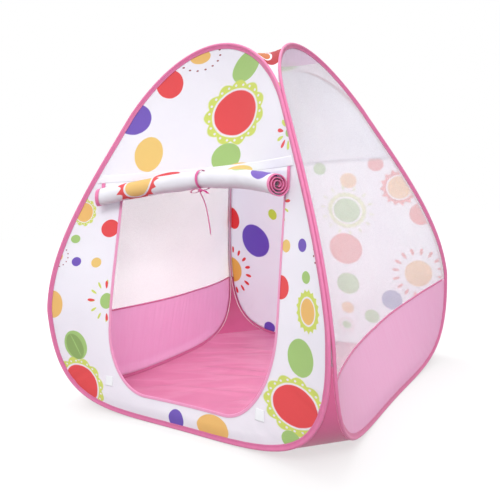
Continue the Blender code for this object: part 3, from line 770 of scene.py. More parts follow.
def corner_seam():
    """Strip down the inside of the front right corner, from one hoop's tape to the next."""
    rows = [
        (point, inward, outward) for point, inward, outward in EDGE
        if point.x > 0 and WIDE_HEIGHT - CORNER_SEAM_DROP <= point.z <= SHOULDER_HEIGHT
    ]
    last = len(rows) - 1

    def place(u, v):
        point, inward, outward = rows[round(v * last)]
        start = point + inward * TAPE_COVER - outward * 0.0010
        end = Vector((-start.y, -start.x, start.z))
        bulge = 0.0022 * (1 - (2 * u - 1) ** 2) + 0.0006 * ripple(point, 0.012, 8.0)
        return start.lerp(end, u) + Vector((-1, 1, 0)).normalized() * bulge

    def pattern(u, v):
        return rows[round(v * last)][0].z, (u - 0.5) * CORNER_SEAM_WIDTH

    return cloth_grid(6, last, place, pattern)


# Nodes of the finishes


class Finish:
    """A node tree, with short calls that add a node and join it up."""

    def __init__(self, tree):
        self.tree = tree

    def add(self, kind, inputs=None, **settings):
        made = self.tree.nodes.new("ShaderNode" + kind)
        for name, value in settings.items():
            setattr(made, name, value)
        for key, value in (inputs or {}).items():
            if isinstance(value, bpy.types.NodeSocket):
                self.tree.links.new(value, made.inputs[key])
            else:
                made.inputs[key].default_value = value
        return made

    def maths(self, operation, *values, clamp=False):
        inputs = dict(enumerate(values))
        return self.add("Math", inputs, operation=operation, use_clamp=clamp).outputs[0]

    def times(self, first, second):
        return self.maths("MULTIPLY", first, second)

    def less(self, first, second, clamp=False):
        return self.maths("SUBTRACT", first, second, clamp=clamp)

    def line(self, value, slope, start, clamp=False):
        """A value times a slope, plus a start."""
        return self.maths("MULTIPLY_ADD", value, slope, start, clamp=clamp)

    def distance_from(self, value, middle):
        return self.maths("ABSOLUTE", self.less(value, middle))

    def blend(self, share, first, second, **settings):
        inputs = {0: share, 6: first, 7: second}
        return self.add("Mix", inputs, data_type="RGBA", **settings).outputs[2]

    def noise(self, vector, scale, detail=2.0, rough=0.5):
        inputs = {"Vector": vector, "Scale": scale, "Detail": detail, "Roughness": rough}
        return self.add("TexNoise", inputs).outputs[0]

    def shift(self, vector, place=(0, 0, 0), turn=0.0, scale=(1, 1, 1), kind="TEXTURE"):
        turned = (0, 0, math.radians(turn))
        inputs = {"Vector": vector, "Location": place, "Rotation": turned, "Scale": scale}
        return self.add("Mapping", inputs, vector_type=kind).outputs[0]

    def stretch(self, vector, along, across):
        return self.shift(vector, scale=(along, across, 1), kind="POINT")

    def split(self, vector):
        """Along and across the cloth."""
        return self.add("SeparateXYZ", {0: vector}).outputs[:2]

    def polar(self, vector):
        radius = self.add("VectorMath", {0: vector}, operation="LENGTH").outputs["Value"]
        along, across = self.split(vector)
        return radius, self.maths("ARCTAN2", across, along)

    def bump(self, height, strength, distance=1.0):
        inputs = {"Height": height, "Distance": distance, "Strength": strength}
        return self.add("Bump", inputs).outputs[0]


def ink(red, green, blue):
    """Linear colour of an sRGB one, each part from 0 to 255."""
    parts = []
    for value in (red, green, blue):
        value /= 255
        parts.append(value / 12.92 if value <= 0.04045 else ((value + 0.055) / 1.055) ** 2.4)
    return (*parts, 1.0)


def node_group(name, inputs, outputs):
    """A group of nodes that takes a vector and numbers, and gives numbers."""
    group = bpy.data.node_groups.new(name, "ShaderNodeTree")
    group.interface.new_socket(name="Vector", in_out="INPUT", socket_type="NodeSocketVector")
    for way, labels in (("INPUT", inputs), ("OUTPUT", outputs)):
        for label in labels:
            group.interface.new_socket(name=label, in_out=way, socket_type="NodeSocketFloat")
    given = group.nodes.new("NodeGroupInput").outputs
    return group, Finish(group), given, group.nodes.new("NodeGroupOutput").inputs


def make_bloom():
    """Shape of a printed motif that fills the unit circle: a dot, petals or pointed rays."""
    group, finish, given, result = node_group("bloom", ("Petals", "Depth", "Pointed"), ("Mask",))
    radius, angle = finish.polar(given["Vector"])
    wave = finish.maths("SINE", finish.times(finish.times(angle, given["Petals"]), 0.5))
    wave = finish.maths("ABSOLUTE", wave)
    turned = finish.less(1.0, finish.times(wave, 2.0))
    lobes = finish.line(given["Pointed"], turned, wave)
    edge = finish.less(1.0, finish.times(given["Depth"], finish.less(1.0, lobes)))
    uneven = finish.line(finish.noise(given["Vector"], 2.0), 0.05, -0.025)
    within = finish.less(finish.maths("ADD", edge, uneven), radius)
    group.links.new(finish.line(within, 25.0, 0.5, clamp=True), result["Mask"])
    return group


def make_beads():
    """Shape of a ring of small ovals round a motif, and which of them are the odd ones."""
    numbers = ("Count", "Ring", "Width", "Length")
    group, finish, given, result = node_group("beads", numbers, ("Mask", "Odd"))
    radius, angle = finish.polar(given["Vector"])
    turns = finish.line(finish.times(angle, given["Count"]), 1 / (2 * math.pi), 60.0)
    part = finish.less(finish.maths("FRACT", turns), 0.5)
    pitch = finish.maths("DIVIDE", finish.times(given["Ring"], 2 * math.pi), given["Count"])
    aside = finish.maths("DIVIDE", finish.times(part, pitch), given["Width"])
    beyond = finish.maths("DIVIDE", finish.less(radius, given["Ring"]), given["Length"])
    square = finish.maths("ADD", finish.times(aside, aside), finish.times(beyond, beyond))
    mask = finish.line(finish.less(1.0, square), 4.0, 0.5, clamp=True)
    group.links.new(mask, result["Mask"])
    group.links.new(finish.maths("MODULO", finish.maths("FLOOR", turns), 2.0), result["Odd"])
    return group


BLOOM = make_bloom()
BEADS = make_beads()

GROUND = ink(248, 248, 252)
WORN_GROUND = ink(244, 242, 250)
RED = ink(238, 92, 96)
PURPLE = ink(132, 104, 202)
PALE_PURPLE = ink(150, 124, 214)
ORANGE = ink(244, 206, 130)
YELLOW = ink(243, 214, 136)
GREEN = ink(184, 216, 140)
LIME = ink(222, 232, 124)
PALE_LIME = ink(232, 238, 190)
BROWN = ink(170, 100, 104)
LEAF_GREEN = ink(160, 190, 118)
WHITE = ink(246, 244, 250)
PINK = ink(248, 156, 202)
DEEP_PINK = ink(232, 122, 176)
PALE_PINK = ink(252, 190, 226)

# Layers of each kind of motif, from below. A shape has its size as a share of the motif's, its
# colour (None is the motif's own), petals, depth and pointedness. A ring of beads has its
# colours, count, ring, width, length and turn.
MOTIF_LAYERS = {
    "dot": [(1.0, None)],
    "leaf": [(1.0, None)],
    "scallop": [
        (1.42, LIME, 11, 0.13), ([WHITE], 22, 1.20, 0.055, 0.055), (1.07, WHITE), (0.98, None),
    ],
    "half sun": [
        ([LIME], 12, 2.25, 0.15, 0.46, 15.0), ([RED], 4, 2.20, 0.19, 0.52, 45.0), (1.0, None),
    ],
    "daisy": [([RED, LIME], 10, 2.9, 0.42, 1.05), (1.0, None)],
    "sunflower": [(1.78, LIME, 17, 0.20, 0.8), (1.14, WHITE), (1.0, None)],
    "burst": [(1.80, RED, 15, 0.30, 0.8), (1.14, WHITE), (1.0, None)],
    "sun": [([RED], 16, 1.68, 0.11, 0.26), (1.0, None)],
    "wheel": [
        ([LIME], 14, 1.85, 0.06, 0.20), (1.48, PALE_LIME, 22, 0.06), (1.14, WHITE), (1.0, None),
    ],
    "beaded": [([BROWN], 16, 2.0, 0.12, 0.12), (1.0, None)],
}


def bloom(finish, spot, colour, base, petals=0.0, depth=0.0, pointed=0.0):
    """Print one shape in a colour over what is printed already; spot is the cloth from its centre."""
    inputs = {"Vector": spot, "Petals": petals, "Depth": depth, "Pointed": pointed}
    made = finish.add("Group", inputs, node_tree=BLOOM)
    return finish.blend(made.outputs["Mask"], base, colour)


def beads(finish, spot, colours, base, count, ring, width, length):
    """Print a ring of ovals in one colour, or in two by turns."""
    inputs = {"Vector": spot, "Count": count, "Ring": ring, "Width": width, "Length": length}
    made = finish.add("Group", inputs, node_tree=BEADS)
    colour = colours[0]
    if len(colours) > 1:
        colour = finish.blend(made.outputs["Odd"], *colours)
    return finish.blend(made.outputs["Mask"], base, colour)


def print_motifs(finish, cloth, motifs, base):
    """Print each motif of a table in turn."""
    for kind, across, height, wide, high, own, *turn in motifs:
        place = (across / 1000, height / 1000, 0)
        wide /= 1000
        high /= 1000
        tilt = turn[0] if turn else 0.0
        for first, second, *form in MOTIF_LAYERS[kind]:
            if isinstance(first, list):
                further = form.pop() if len(form) > 3 else 0.0
                spot = finish.shift(cloth, place, further + tilt, (wide, high, 1))
                base = beads(finish, spot, first, base, second, *form)
            else:
                spot = finish.shift(cloth, place, tilt, (wide * first, high * first, 1))
                base = bloom(finish, spot, second or own, base, *form)
        if kind == "leaf":
            pale_half = finish.shift(spot, (-0.12, -0.06, 0), 0.0, (0.70, 0.90, 1))
            base = bloom(finish, pale_half, LEAF_GREEN, base)
            vein = finish.shift(spot, (-0.02, 0.0, 0), 0.0, (0.05, 0.80, 1))
            base = bloom(finish, vein, own, base)
    return base


def thread_bump(finish, cloth, wrinkle, strength=0.35):
    """Weave of fine threads over soft wrinkles, as a normal."""
    threads = finish.noise(finish.stretch(cloth, 1, 6), 700.0)
    crossing = finish.noise(finish.stretch(cloth, 6, 1), 700.0)
    weave = finish.maths("ADD", threads, crossing)
    soft = finish.noise(cloth, 26.0, 3.0, 0.55)
    return finish.bump(finish.line(weave, 0.00004, finish.times(soft, wrinkle)), strength)


def start_finish(owner):
    """Empty the nodes of a material or a world."""
    owner.use_nodes = True
    owner.node_tree.nodes.clear()
    return Finish(owner.node_tree)


def start_cloth(name):
    """A new material, its nodes, and the place in the cloth."""
    material = bpy.data.materials.new(name)
    finish = start_finish(material)
    return material, finish, finish.add("UVMap", uv_map="weave").outputs[0]


def end_cloth(
    material, finish, colour, bump, roughness, through, sheen=0.15, alpha=1.0, specular=0.3
):
    """Woven surface: what comes back from it, and the share that shines through it."""
    inputs = {"Base Color": colour, "Normal": bump, "Roughness": roughness, "Sheen Weight": sheen}
    inputs.update({"Sheen Roughness": 0.4, "Specular IOR Level": specular, "Alpha": alpha})
    front = finish.add("BsdfPrincipled", inputs).outputs[0]
    if through:
        lit = finish.add("BsdfTranslucent", {"Color": colour, "Normal": bump}).outputs[0]
        front = finish.add("MixShader", {0: through, 1: front, 2: lit}).outputs[0]
    finish.add("OutputMaterial", {"Surface": front})
    return material


def printed(name, motifs, through, wrinkle=0.0018):
    """White cloth with motifs printed on it."""
    material, finish, cloth = start_cloth(name)
    base = finish.blend(finish.noise(cloth, 5.0, 3.0), GROUND, WORN_GROUND)
    base = print_motifs(finish, cloth, motifs, base)
    worn = finish.line(finish.noise(cloth, 900.0, 1.0), 0.16, 0.90, clamp=True)
    base = finish.blend(0.35, base, worn, blend_type="MULTIPLY")
    return end_cloth(material, finish, base, thread_bump(finish, cloth, wrinkle), 0.62, through)


def stitches(finish, cloth, row):
    """Mask of sewn dashes along a tape, at a place across it."""
    along, across = finish.split(cloth)
    dash = finish.maths("FRACT", finish.maths("DIVIDE", along, STITCH_PITCH))
    dash = finish.maths("LESS_THAN", dash, STITCH_SHARE)
    off = finish.maths("DIVIDE", finish.distance_from(across, row), STITCH_HALF_WIDTH)
    return finish.times(finish.less(1.0, off, clamp=True), dash)


def tape_finish(name, body, edge, stitch=None, row=0.0, half_width=0.0135):
    """Satin bias tape: a painted highlight along its fold, painted shade towards its edges, and stitched
    in a row near its outer edge.
    """
    material, finish, cloth = start_cloth(name)
    # Painted highlight and shade: the body colour in the middle blends to the edge colour across the
    # tape, mixed in random patches.
    off = finish.maths("ABSOLUTE", finish.split(cloth)[1])
    off = finish.maths("DIVIDE", off, half_width, clamp=True)
    patchy = finish.noise(cloth, 60.0, 3.0)
    base = finish.blend(finish.line(patchy, 0.5, finish.times(off, 0.55), clamp=True), body, edge)
    ribs = finish.noise(finish.stretch(cloth, 1, 7), 420.0)
    pucker = finish.noise(finish.stretch(cloth, 1, 0.25), 230.0)
    height = finish.line(ribs, 0.00005, finish.times(pucker, 0.00018))
    if stitch:
        sewn = stitches(finish, cloth, row)
        base = finish.blend(finish.times(sewn, 0.8), base, stitch)
        height = finish.line(sewn, -0.0002, height)
    bump = finish.bump(height, 0.5)
    return end_cloth(material, finish, base, bump, 0.42, 0.35, sheen=0.25, specular=0.4)


def plain_finish(name, colour, shade, wrinkle, roughness, through, scale=9.0, specular=0.3):
    """Cloth of one colour with a shade of it in patches."""
    material, finish, cloth = start_cloth(name)
    base = finish.blend(finish.noise(cloth, scale, 3.0), colour, shade)
    bump = thread_bump(finish, cloth, wrinkle)
    return end_cloth(material, finish, base, bump, roughness, through, specular=specular)


def sheer_finish(name):
    """Fine net: open between its threads, doubled in a slanting band along the crest, which is tinted
    pink-grey as painted shade.
    """
    material, finish, cloth = start_cloth(name)
    along, across = finish.split(cloth)
    level = finish.line(along, CREST_BAND_SLOPE, across)
    doubled = finish.maths("GREATER_THAN", level, CREST_BAND_HEIGHT)
    base = finish.blend(finish.noise(cloth, 7.0), ink(251, 250, 252), ink(244, 242, 248))
    # Painted shade: the doubled band is tinted pink-grey, varied along its pleats, for the shaded roof
    # cloth seen through it.
    pleats = finish.noise(finish.stretch(cloth, 1, 0.12), 120.0)
    band = finish.blend(pleats, ink(236, 202, 228), ink(226, 208, 230))
    base = finish.blend(finish.times(doubled, 0.85), base, band)
    cells = finish.add("TexVoronoi", {"Vector": cloth, "Scale": 520.0}, feature="DISTANCE_TO_EDGE")
    open_cells = finish.line(cells.outputs[0], -0.25, 0.40, clamp=True)
    alpha = finish.line(doubled, 0.32, open_cells, clamp=True)
    bump = thread_bump(finish, cloth, 0.0012, 0.25)
    return end_cloth(material, finish, base, bump, 0.55, 0.0, sheen=0.2, alpha=alpha, specular=0.1)


def floor_finish(name):
    """Coated cloth with long, fine creases, with a painted highlight along their ridges."""
    material, finish, cloth = start_cloth(name)
    turned = finish.shift(cloth, turn=-30.0, kind="POINT")
    waves = finish.noise(finish.stretch(turned, 1, 4.5), 1.9, 4.0)
    ridge = finish.line(finish.distance_from(waves, 0.5), -15.0, 1.0, clamp=True)
    base = finish.blend(finish.noise(cloth, 9.0, 3.0), ink(242, 160, 198), ink(234, 144, 186))
    # Painted highlight: the crease ridges are painted paler.
    base = finish.blend(finish.times(ridge, 0.45), base, ink(250, 184, 214))
    bump = finish.bump(finish.line(ridge, 0.0014, finish.times(waves, 0.016)), 0.55)
    return end_cloth(material, finish, base, bump, 0.34, 0.35, specular=0.5)


def skirt_finish(name):
    """Thin satin, gathered in fine upright streaks, with a painted highlight on their ridges."""
    material, finish, cloth = start_cloth(name)
    streaks = finish.noise(finish.stretch(cloth, 1, 0.06), 150.0, 3.0, 0.6)
    # Painted highlight: the streaks that raise the ridges also make them paler.
    base = finish.blend(streaks, ink(244, 197, 227), ink(249, 213, 237))
    bump = finish.bump(finish.times(streaks, 0.0002), 0.5)
    return end_cloth(material, finish, base, bump, 0.5, 0.42, sheen=0.2)


def corner_finish(name):
    """Edge of the sewn corner seen from inside: a pink line between two strips of cloth."""
    material, finish, cloth = start_cloth(name)
    off = finish.line(finish.noise(cloth, 40.0), 0.002, finish.split(cloth)[1])
    middle = finish.line(finish.maths("ABSOLUTE", off), -1500.0, 3.2, clamp=True)
    base = finish.blend(middle, GROUND, PINK)
    return end_cloth(material, finish, base, thread_bump(finish, cloth, 0.0008), 0.6, 0.45)


def steel_finish(name, roughness):
    """Drawn steel with fine grain."""
    material = bpy.data.materials.new(name)
    finish = start_finish(material)
    drawn = finish.noise(finish.add("TexCoord").outputs["Object"], 380.0, 3.0)
    inputs = {"Base Color": finish.blend(drawn, ink(150, 152, 156), ink(190, 192, 196))}
    inputs.update({"Metallic": 1.0, "Roughness": roughness, "Normal": finish.bump(drawn, 0.3, 0.0002)})
    finish.add("OutputMaterial", {"Surface": finish.add("BsdfPrincipled", inputs).outputs[0]})
    return material


# Motifs of each cloth in the order of printing: kind, place across and up, half width and half
# height, all in millimetres, colour, and turn in degrees where it isn't upright

FRONT_PRINT = (
    ("beaded", -40, 975, 34, 18, ORANGE),
    ("dot", -140, 915, 40, 40, RED),
    ("dot", -240, 825, 45, 45, PURPLE),
    ("dot", -195, 720, 40, 50, YELLOW),
    ("dot", 121, 918, 56, 34, GREEN, 18),
    ("scallop", 80, 805, 80, 60, RED),
    ("dot", 55, 690, 52, 38, GREEN),
    ("daisy", 300, 722, 12, 10, GREEN),
    ("dot", 105, 650, 53, 22, YELLOW),
    ("scallop", -355, 565, 21, 28, ORANGE),
    ("dot", -285, 515, 25, 25, RED),
    ("dot", -375, 490, 12, 12, GREEN),
    ("dot", -370, 425, 13, 13, PURPLE),
    ("dot", -315, 420, 14, 14, YELLOW),
    ("half sun", -276, 312, 19, 22, GREEN),
    ("beaded", -421, 443, 14, 15, ORANGE),
    ("dot", -435, 305, 28, 40, ORANGE),
    ("leaf", -371, 185, 34, 44, GREEN, 28),
    ("scallop", -348, 78, 62, 43, RED, -38),
    ("dot", -10, 28, 25, 25, PURPLE),
    ("dot", 110, 30, 50, 32, ORANGE),
    ("half sun", 268, 565, 16, 19, GREEN, 10),
    ("beaded", 437, 463, 17, 18, ORANGE),
    ("dot", 310, 470, 14, 14, YELLOW),
    ("dot", 365, 475, 14, 14, PURPLE),
    ("dot", 380, 410, 13, 13, GREEN),
    ("dot", 300, 380, 26, 26, RED),
    ("sunflower", 387, 341, 21, 27, ORANGE),
    ("dot", 365, 240, 38, 40, GREEN),
    ("scallop", 350, 135, 64, 44, RED),
    ("dot", 340, 60, 26, 20, GREEN),
)

BACK_PRINT = (
    ("dot", 380, 495, 53, 45, RED),
    ("dot", 250, 405, 80, 67, PALE_PURPLE),
    ("sun", 440, 270, 66, 54, ORANGE),
    ("dot", 250, 35, 28, 24, PALE_PURPLE),
    ("dot", 120, 510, 20, 20, LIME),
    ("dot", -105, 660, 20, 20, GREEN),
    ("dot", -275, 662, 22, 22, RED),
    ("dot", -190, 615, 25, 25, ORANGE),
    ("wheel", -170, 515, 42, 42, GREEN),
    ("burst", -335, 582, 33, 37, ORANGE),
    ("dot", -390, 490, 33, 37, RED),
    ("dot", -145, 380, 56, 56, RED),
    ("dot", -135, 250, 40, 40, GREEN),
    ("dot", -120, 155, 23, 23, ORANGE),
    ("sun", -105, 85, 16, 16, GREEN),
    ("dot", -205, 125, 26, 26, GREEN),
    ("dot", -280, 190, 34, 36, PURPLE),
    ("sun", -370, 285, 42, 46, ORANGE),
    ("dot", 20, 300, 30, 30, GREEN),
    ("dot", 50, 180, 36, 36, YELLOW),
    ("dot", 20, 60, 30, 26, RED),
)

FLAP_PRINT = (
    ("burst", -195, -115, 37, 37, ORANGE),
    ("dot", -77, -172, 36, 30, RED),
    ("dot", -30, -146, 18, 16, ink(248, 190, 206)),
    ("dot", 152, -150, 38, 30, ink(206, 228, 178)),
    ("dot", 252, -150, 42, 34, PURPLE),
)

BAND_PRINT = (
    ("dot", 110, 648, 53, 16, YELLOW),
    ("dot", -135, 655, 40, 8, RED, 6),
)

ROOF_PRINT = (
    # Painted shade: the big flower's red and orange are darker than RED and ORANGE, for the shade on the
    # roof.
    ("dot", 160, -160, 62, 50, ink(186, 34, 46), -45),
    ("dot", 156, -163, 42, 20, WHITE, -45),
    ("dot", 156, -163, 36, 15, ink(208, 116, 44), -45),
    ("dot", 248, -248, 10, 8, ORANGE),
    ("scallop", 40, -40, 45, 45, ORANGE),
    ("dot", 100, 60, 35, 35, GREEN),
    ("dot", -70, 60, 40, 40, PURPLE),
    ("dot", -90, -80, 30, 30, YELLOW),
)

printed_front = printed("printed_front_cloth", FRONT_PRINT, through=0.32, wrinkle=0.0026)
printed_back = printed("printed_back_cloth", BACK_PRINT, through=0.60)
printed_flap = printed("printed_flap_cloth", FLAP_PRINT, through=0.25)
printed_roof = printed("printed_roof_cloth", ROOF_PRINT, through=0.30)
band_cloth = printed("printed_band_cloth", BAND_PRINT, through=0.15, wrinkle=0.0010)
plain_cloth = plain_finish(
    "plain_cloth", GROUND, ink(232, 234, 244), wrinkle=0.0016, roughness=0.62, through=0.50
)
sheer_cloth = sheer_finish("sheer_net")
skirt_cloth = skirt_finish("gathered_skirt_cloth")
floor_cloth = floor_finish("coated_floor_cloth")
# Painted shade: the floor's cloth where it is drawn up the corners, coloured in darker, deeper pinks
# than the floor.
shaded_gusset_cloth = plain_finish(
    "shaded_drawn_up_floor_cloth", ink(234, 116, 166), ink(214, 96, 146),
    wrinkle=0.0034, roughness=0.38, through=0.15, specular=0.5,
)
# For the bias tapes the first colour is the painted highlight along the fold and the second the painted
# shade at the edges.
tape_cloth = tape_finish("satin_bias_tape", PINK, DEEP_PINK, PALE_PINK, row=-0.0135)
door_tape_cloth = tape_finish("door_bias_tape", PALE_PINK, PINK, WHITE, row=-0.0062)
seam_tape_cloth = tape_finish("flat_seam_tape", PINK, DEEP_PINK, half_width=0.9)
corner_cloth = corner_finish("sewn_corner_cloth")
ribbon_cloth = plain_finish(
    "satin_ribbon", ink(232, 104, 168), ink(210, 76, 142),
    wrinkle=0.0004, roughness=0.3, through=0.1, scale=90.0, specular=0.6,
)
patch_cloth = plain_finish(
    "hook_and_loop_pile", ink(243, 243, 246), ink(226, 226, 232),
    wrinkle=0.0030, roughness=0.9, through=0.0, scale=900.0,
)
steel = steel_finish("spring_steel", 0.32)
crimp_steel = steel_finish("crimped_steel", 0.45)

# Pieces, wall by wall

SEEDS = {"front": 1.0, "right": 2.0, "back": 3.0, "left": 4.0}
for side, seed in SEEDS.items():
    tape = folded_tape(seed, -1 if side == "right" else 1)
    finish_piece(f"sleeve_{side}", tape, tape_cloth, side)
    wire = tube(HOOP[::2], WIRE_RADIUS)
    finish_piece(f"wire_{side}", wire, steel, side, thickness=0.0)
    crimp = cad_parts[f"crimp_{side}"]
    crimp.data.materials.clear()
    crimp.data.materials.append(crimp_steel)

front_cloth = round_sheet(FRONT_ROWS, front_place, lambda index, v: front_place(index % ROUND, v).xz)
front_tree = BVHTree.FromBMesh(front_cloth)
front_wall = finish_piece("front_wall", front_cloth, printed_front, "front")
door_edge = finish_piece("door_binding", door_tape(), door_tape_cloth, "front")


def level_band(height_at, margin):
    """Places of a band that runs level across a wall and ends a margin short of its tape."""

    def spot(u, v):
        height = height_at(v)
        return (2 * u - 1) * (profile_at(height).x - TAPE_WIDTH - margin), height

    return spot


front_spot = level_band(lambda v: BAND_BOTTOM + (BAND_TOP - BAND_BOTTOM) * v, margin=0.003)
band = strip_on_cloth(front_tree, 220, 8, front_spot, BAND_LIFT, wave=0.0006)
seam_band = finish_piece("seam_band", band, band_cloth, "front", BAND_THICKNESS)

for name, middle in (("left", -PATCH_REACH), ("right", PATCH_REACH)):
    square = strip_on_cloth(
        front_tree, 16, 16,
        lambda u, v: (middle + (u - 0.5) * PATCH_SIZE, PATCH_HEIGHT + (v - 0.5) * PATCH_SIZE), 0.0014,
    )
    finish_piece(f"patch_{name}", square, patch_cloth, "front", PATCH_THICKNESS)


def seam_height(side, across):
    """Height of a side wall's seam at a distance from the wall's middle."""
    place, up = SEAM_PLANES[side]
    height = SKIRT_HEIGHT
    for _ in range(6):
        reach = wall_point(across, height).y
        height = place.z - ((across - place.x) * up.x + (reach - place.y) * up.y) / up.z
    return height


side_cloths = {}
for side in ("left", "right"):
    seam, seam_up = SEAM_PLANES[side]
    sheer = cut(wall_sheet(SEEDS[side]), seam + UPRIGHT * SEAM_SPLIT, -seam_up)
    whole = wall_sheet(SEEDS[side], SKIRT_PLEAT if side == "left" else 0.0)
    tree = BVHTree.FromBMesh(whole)
    skirt = cut(whole, seam - UPRIGHT * SEAM_SPLIT, seam_up)

    def tape_spot(u, v):
        across = (2 * u - 1) * (profile_at(SKIRT_HEIGHT).x - TAPE_WIDTH - 0.006)
        return across, seam_height(side, across) + (2 * min(v, 1 - v) - 0.5) * SKIRT_TAPE_WIDTH

    tape = strip_on_cloth(tree, 200, 9, tape_spot, 0.0011, wave=0.0004, folded=True)
    side_cloths[side] = (
        finish_piece(f"sheer_{side}", sheer, sheer_cloth, side),
        finish_piece(f"skirt_{side}", skirt, skirt_cloth, side),
        finish_piece(f"skirt_tape_{side}", tape, seam_tape_cloth, side),
    )

back_upper = cut(wall_sheet(SEEDS["back"]), (0, 0, BACK_SEAM_HEIGHT + SEAM_SPLIT), -UPRIGHT)
back_lower = wall_sheet(SEEDS["back"])
back_tree = BVHTree.FromBMesh(back_lower)
cut(back_lower, (0, 0, BACK_SEAM_HEIGHT - SEAM_SPLIT), UPRIGHT)
back_spot = level_band(lambda v: BACK_SEAM_HEIGHT + (v - 0.5) * BACK_BAND_WIDTH, margin=0.001)
back_band = strip_on_cloth(back_tree, 160, 6, back_spot, BAND_LIFT, wave=0.0003)
back_top = finish_piece("back_upper", back_upper, plain_cloth, "back")
back_wall = finish_piece("back_wall", back_lower, printed_back, "back")
back_seam = finish_piece("back_seam", back_band, plain_cloth, "back")

# Rolled flap

inner = FLAP_HALF_LENGTH - FLAP_EDGE_WIDTH
roll = flap_sheet(-inner, inner, 150)
flap = finish_piece("door_flap", roll, printed_flap, "front", name="rolled_flap")
for name, sign in (("left", -1), ("right", 1)):
    ends = sorted((sign * (inner + 0.0003), sign * FLAP_HALF_LENGTH))
    finish_piece(
            f"flap_edge_{name}", flap_sheet(*ends, 5), seam_tape_cloth, "front",
            FLAP_EDGE_THICKNESS, f"rolled_edge_{name}",
        )

# Ribbon: over the roll, knot, bow and two tails


def ribbon(name, mesh, thickness=RIBBON):
    """Make a mesh the ribbon's piece that replaces a part of the tie."""
    return finish_piece(
        f"tie_{name}", mesh, ribbon_cloth, "front", thickness, f"ribbon_{name}"
    )


origin, way_out, way_up = flap_station(TIE_REACH)
roll_centre = origin + way_out * (FLAP_STANDOFF + ROLL_RADIUS)
hug = ROLL_RADIUS * pinch(TIE_REACH) + 0.0016
top, top_normal = on_cloth(front_tree, TIE_REACH, BAND_BOTTOM + TIE_RISE)
over = [top + top_normal * 0.0022]
for share in shares(12):
    turn = math.radians(105.0 - 190.0 * share)
    over.append(roll_centre + (way_out * math.cos(turn) + way_up * math.sin(turn)) * hug)
knot_place = roll_centre - way_up * (hug + 0.0050)
behind = [
    knot_place + Vector((0, 0.004, 0)),
    origin - way_out * 0.004 - way_up * ROLL_RADIUS / 2,
    top - top_normal * 0.0012,
]
ribbon_pieces = [
    ribbon("front", ribbon_strip(over, 60, (1, 0, 0))),
    ribbon("back", ribbon_strip(behind, 40, (1, 0, 0))),
]

knot = bmesh.new()
bmesh.ops.create_uvsphere(
    knot, u_segments=32, v_segments=20, radius=KNOT_RADIUS,
    matrix=Matrix.Translation(knot_place) @ Matrix.Diagonal((1, 0.75, 0.8, 1)), calc_uvs=False,
)
weave = knot.loops.layers.uv.new("weave")
for vert in knot.verts:
    away = vert.co - knot_place
    groove = math.cos(away.x / KNOT_RADIUS * 5.0 + away.z / KNOT_RADIUS * 2.4)
    vert.co = knot_place + away * (1 + 0.07 * groove)
for face in knot.faces:
    for loop in face.loops:
        loop[weave].uv = (loop.vert.co.x, loop.vert.co.z)
ribbon_knot = ribbon("knot", knot, thickness=0.0)

bow = []
for share in shares(16):
    turn = math.radians(9.0 + 342.0 * share)
    across = -0.0058 + BOW_LENGTH * (math.cos(turn) - 1) / 2
    rise = BOW_HEIGHT * math.sin(turn) / 2 - BOW_DROOP * (1 - math.cos(turn)) / 2
    bow.append(knot_place + Vector((across, 0.0, rise)))
short = [
    knot_place + Vector((0.0055 + 0.020 * share, -0.001, -0.010 * share ** 2)) for share in shares(6)
]
tail = []
for share in shares(18):
    swing = 0.030 * math.sin(math.pi / 2 * share) + 0.0015 * math.sin(7.0 * share)
    reach = -0.0052 + 0.003 * math.sin(4.0 * share)
    tail.append(knot_place + Vector((swing, reach, -TAIL_DROP * share)))
ribbon_bow = ribbon("bow", ribbon_strip(bow, 60, (-0.25, 1, 0)))
ribbon_short = ribbon("short_tail", ribbon_strip(short, 24, (0, 1, 0.3), slant=0.5))
ribbon_tail = ribbon("long_tail", ribbon_strip(tail, 60, (-0.38, 1, 0), slant=0.7))

# Floor with its drawn-up corners, roof, and the seams inside the corners

# Start, end, height and width of each soft fold of the floor
FLOOR_CREASES = (
    ((-0.30, -0.02), (0.26, 0.06), 0.006, 0.010),
    ((-0.24, -0.20), (0.20, -0.12), 0.005, 0.010),
    ((0.02, -0.36), (0.10, 0.34), 0.004, 0.009),
    ((-0.34, 0.22), (0.30, 0.26), 0.004, 0.010),
)
FLOOR_SPREAD = run_spread(FOOT, False, 3.5 / 8.5)
GUSSET_TOP = run_spread(FOOT, False, 0.945)
ROOF_TIP = run_spread(CREST, True, 0.99)
CREST_POINTS = [run_point(CREST, True, share) for share in shares(60)]


def crease(x, y, start, end, height, width):
    """A soft fold that stands up along a line on the floor."""
    line = end - start
    share = max(0.0, min(1.0, (Vector((x, y)) - start).dot(line) / line.length_squared))
    off = (Vector((x, y)) - start - line * share).length / width
    return height * math.exp(-off * off) * smooth(share * 5) * smooth((1 - share) * 5)


def floor_relief(x, y):
    """How far the floor's cloth stands up in folds and slow waves."""
    up = 0.0
    for start, end, height, width in FLOOR_CREASES:
        up += crease(x, y, Vector(start), Vector(end), height, width)
    loose = smooth((0.39 - max(abs(x), abs(y))) / 0.05)
    up += loose * max(0.0, 0.0025 * (ripple(Vector((x, y, 0)), 0.12, 5.0) + 0.2))
    return up


def roof_relief(x, y):
    """The roof's cloth sags between the hoops along every run across a corner."""
    spread = abs(x) + abs(y)
    aside = abs(abs(x) - abs(y))
    if spread <= CREST_REACH:
        bow = 1 - aside * aside / (max(spread, 0.001) * CREST_REACH)
        return -ROOF_SAG_SHARE * CREST_REACH * math.sqrt(2) * bow
    for near, far in zip(CREST_POINTS, CREST_POINTS[1:]):
        if far.x + far.y >= spread:
            half = max(far.y - far.x, 0.001)
            return -ROOF_SAG_SHARE * half * math.sqrt(2) * max(0.0, 1 - (aside / half) ** 2)
    return 0.0


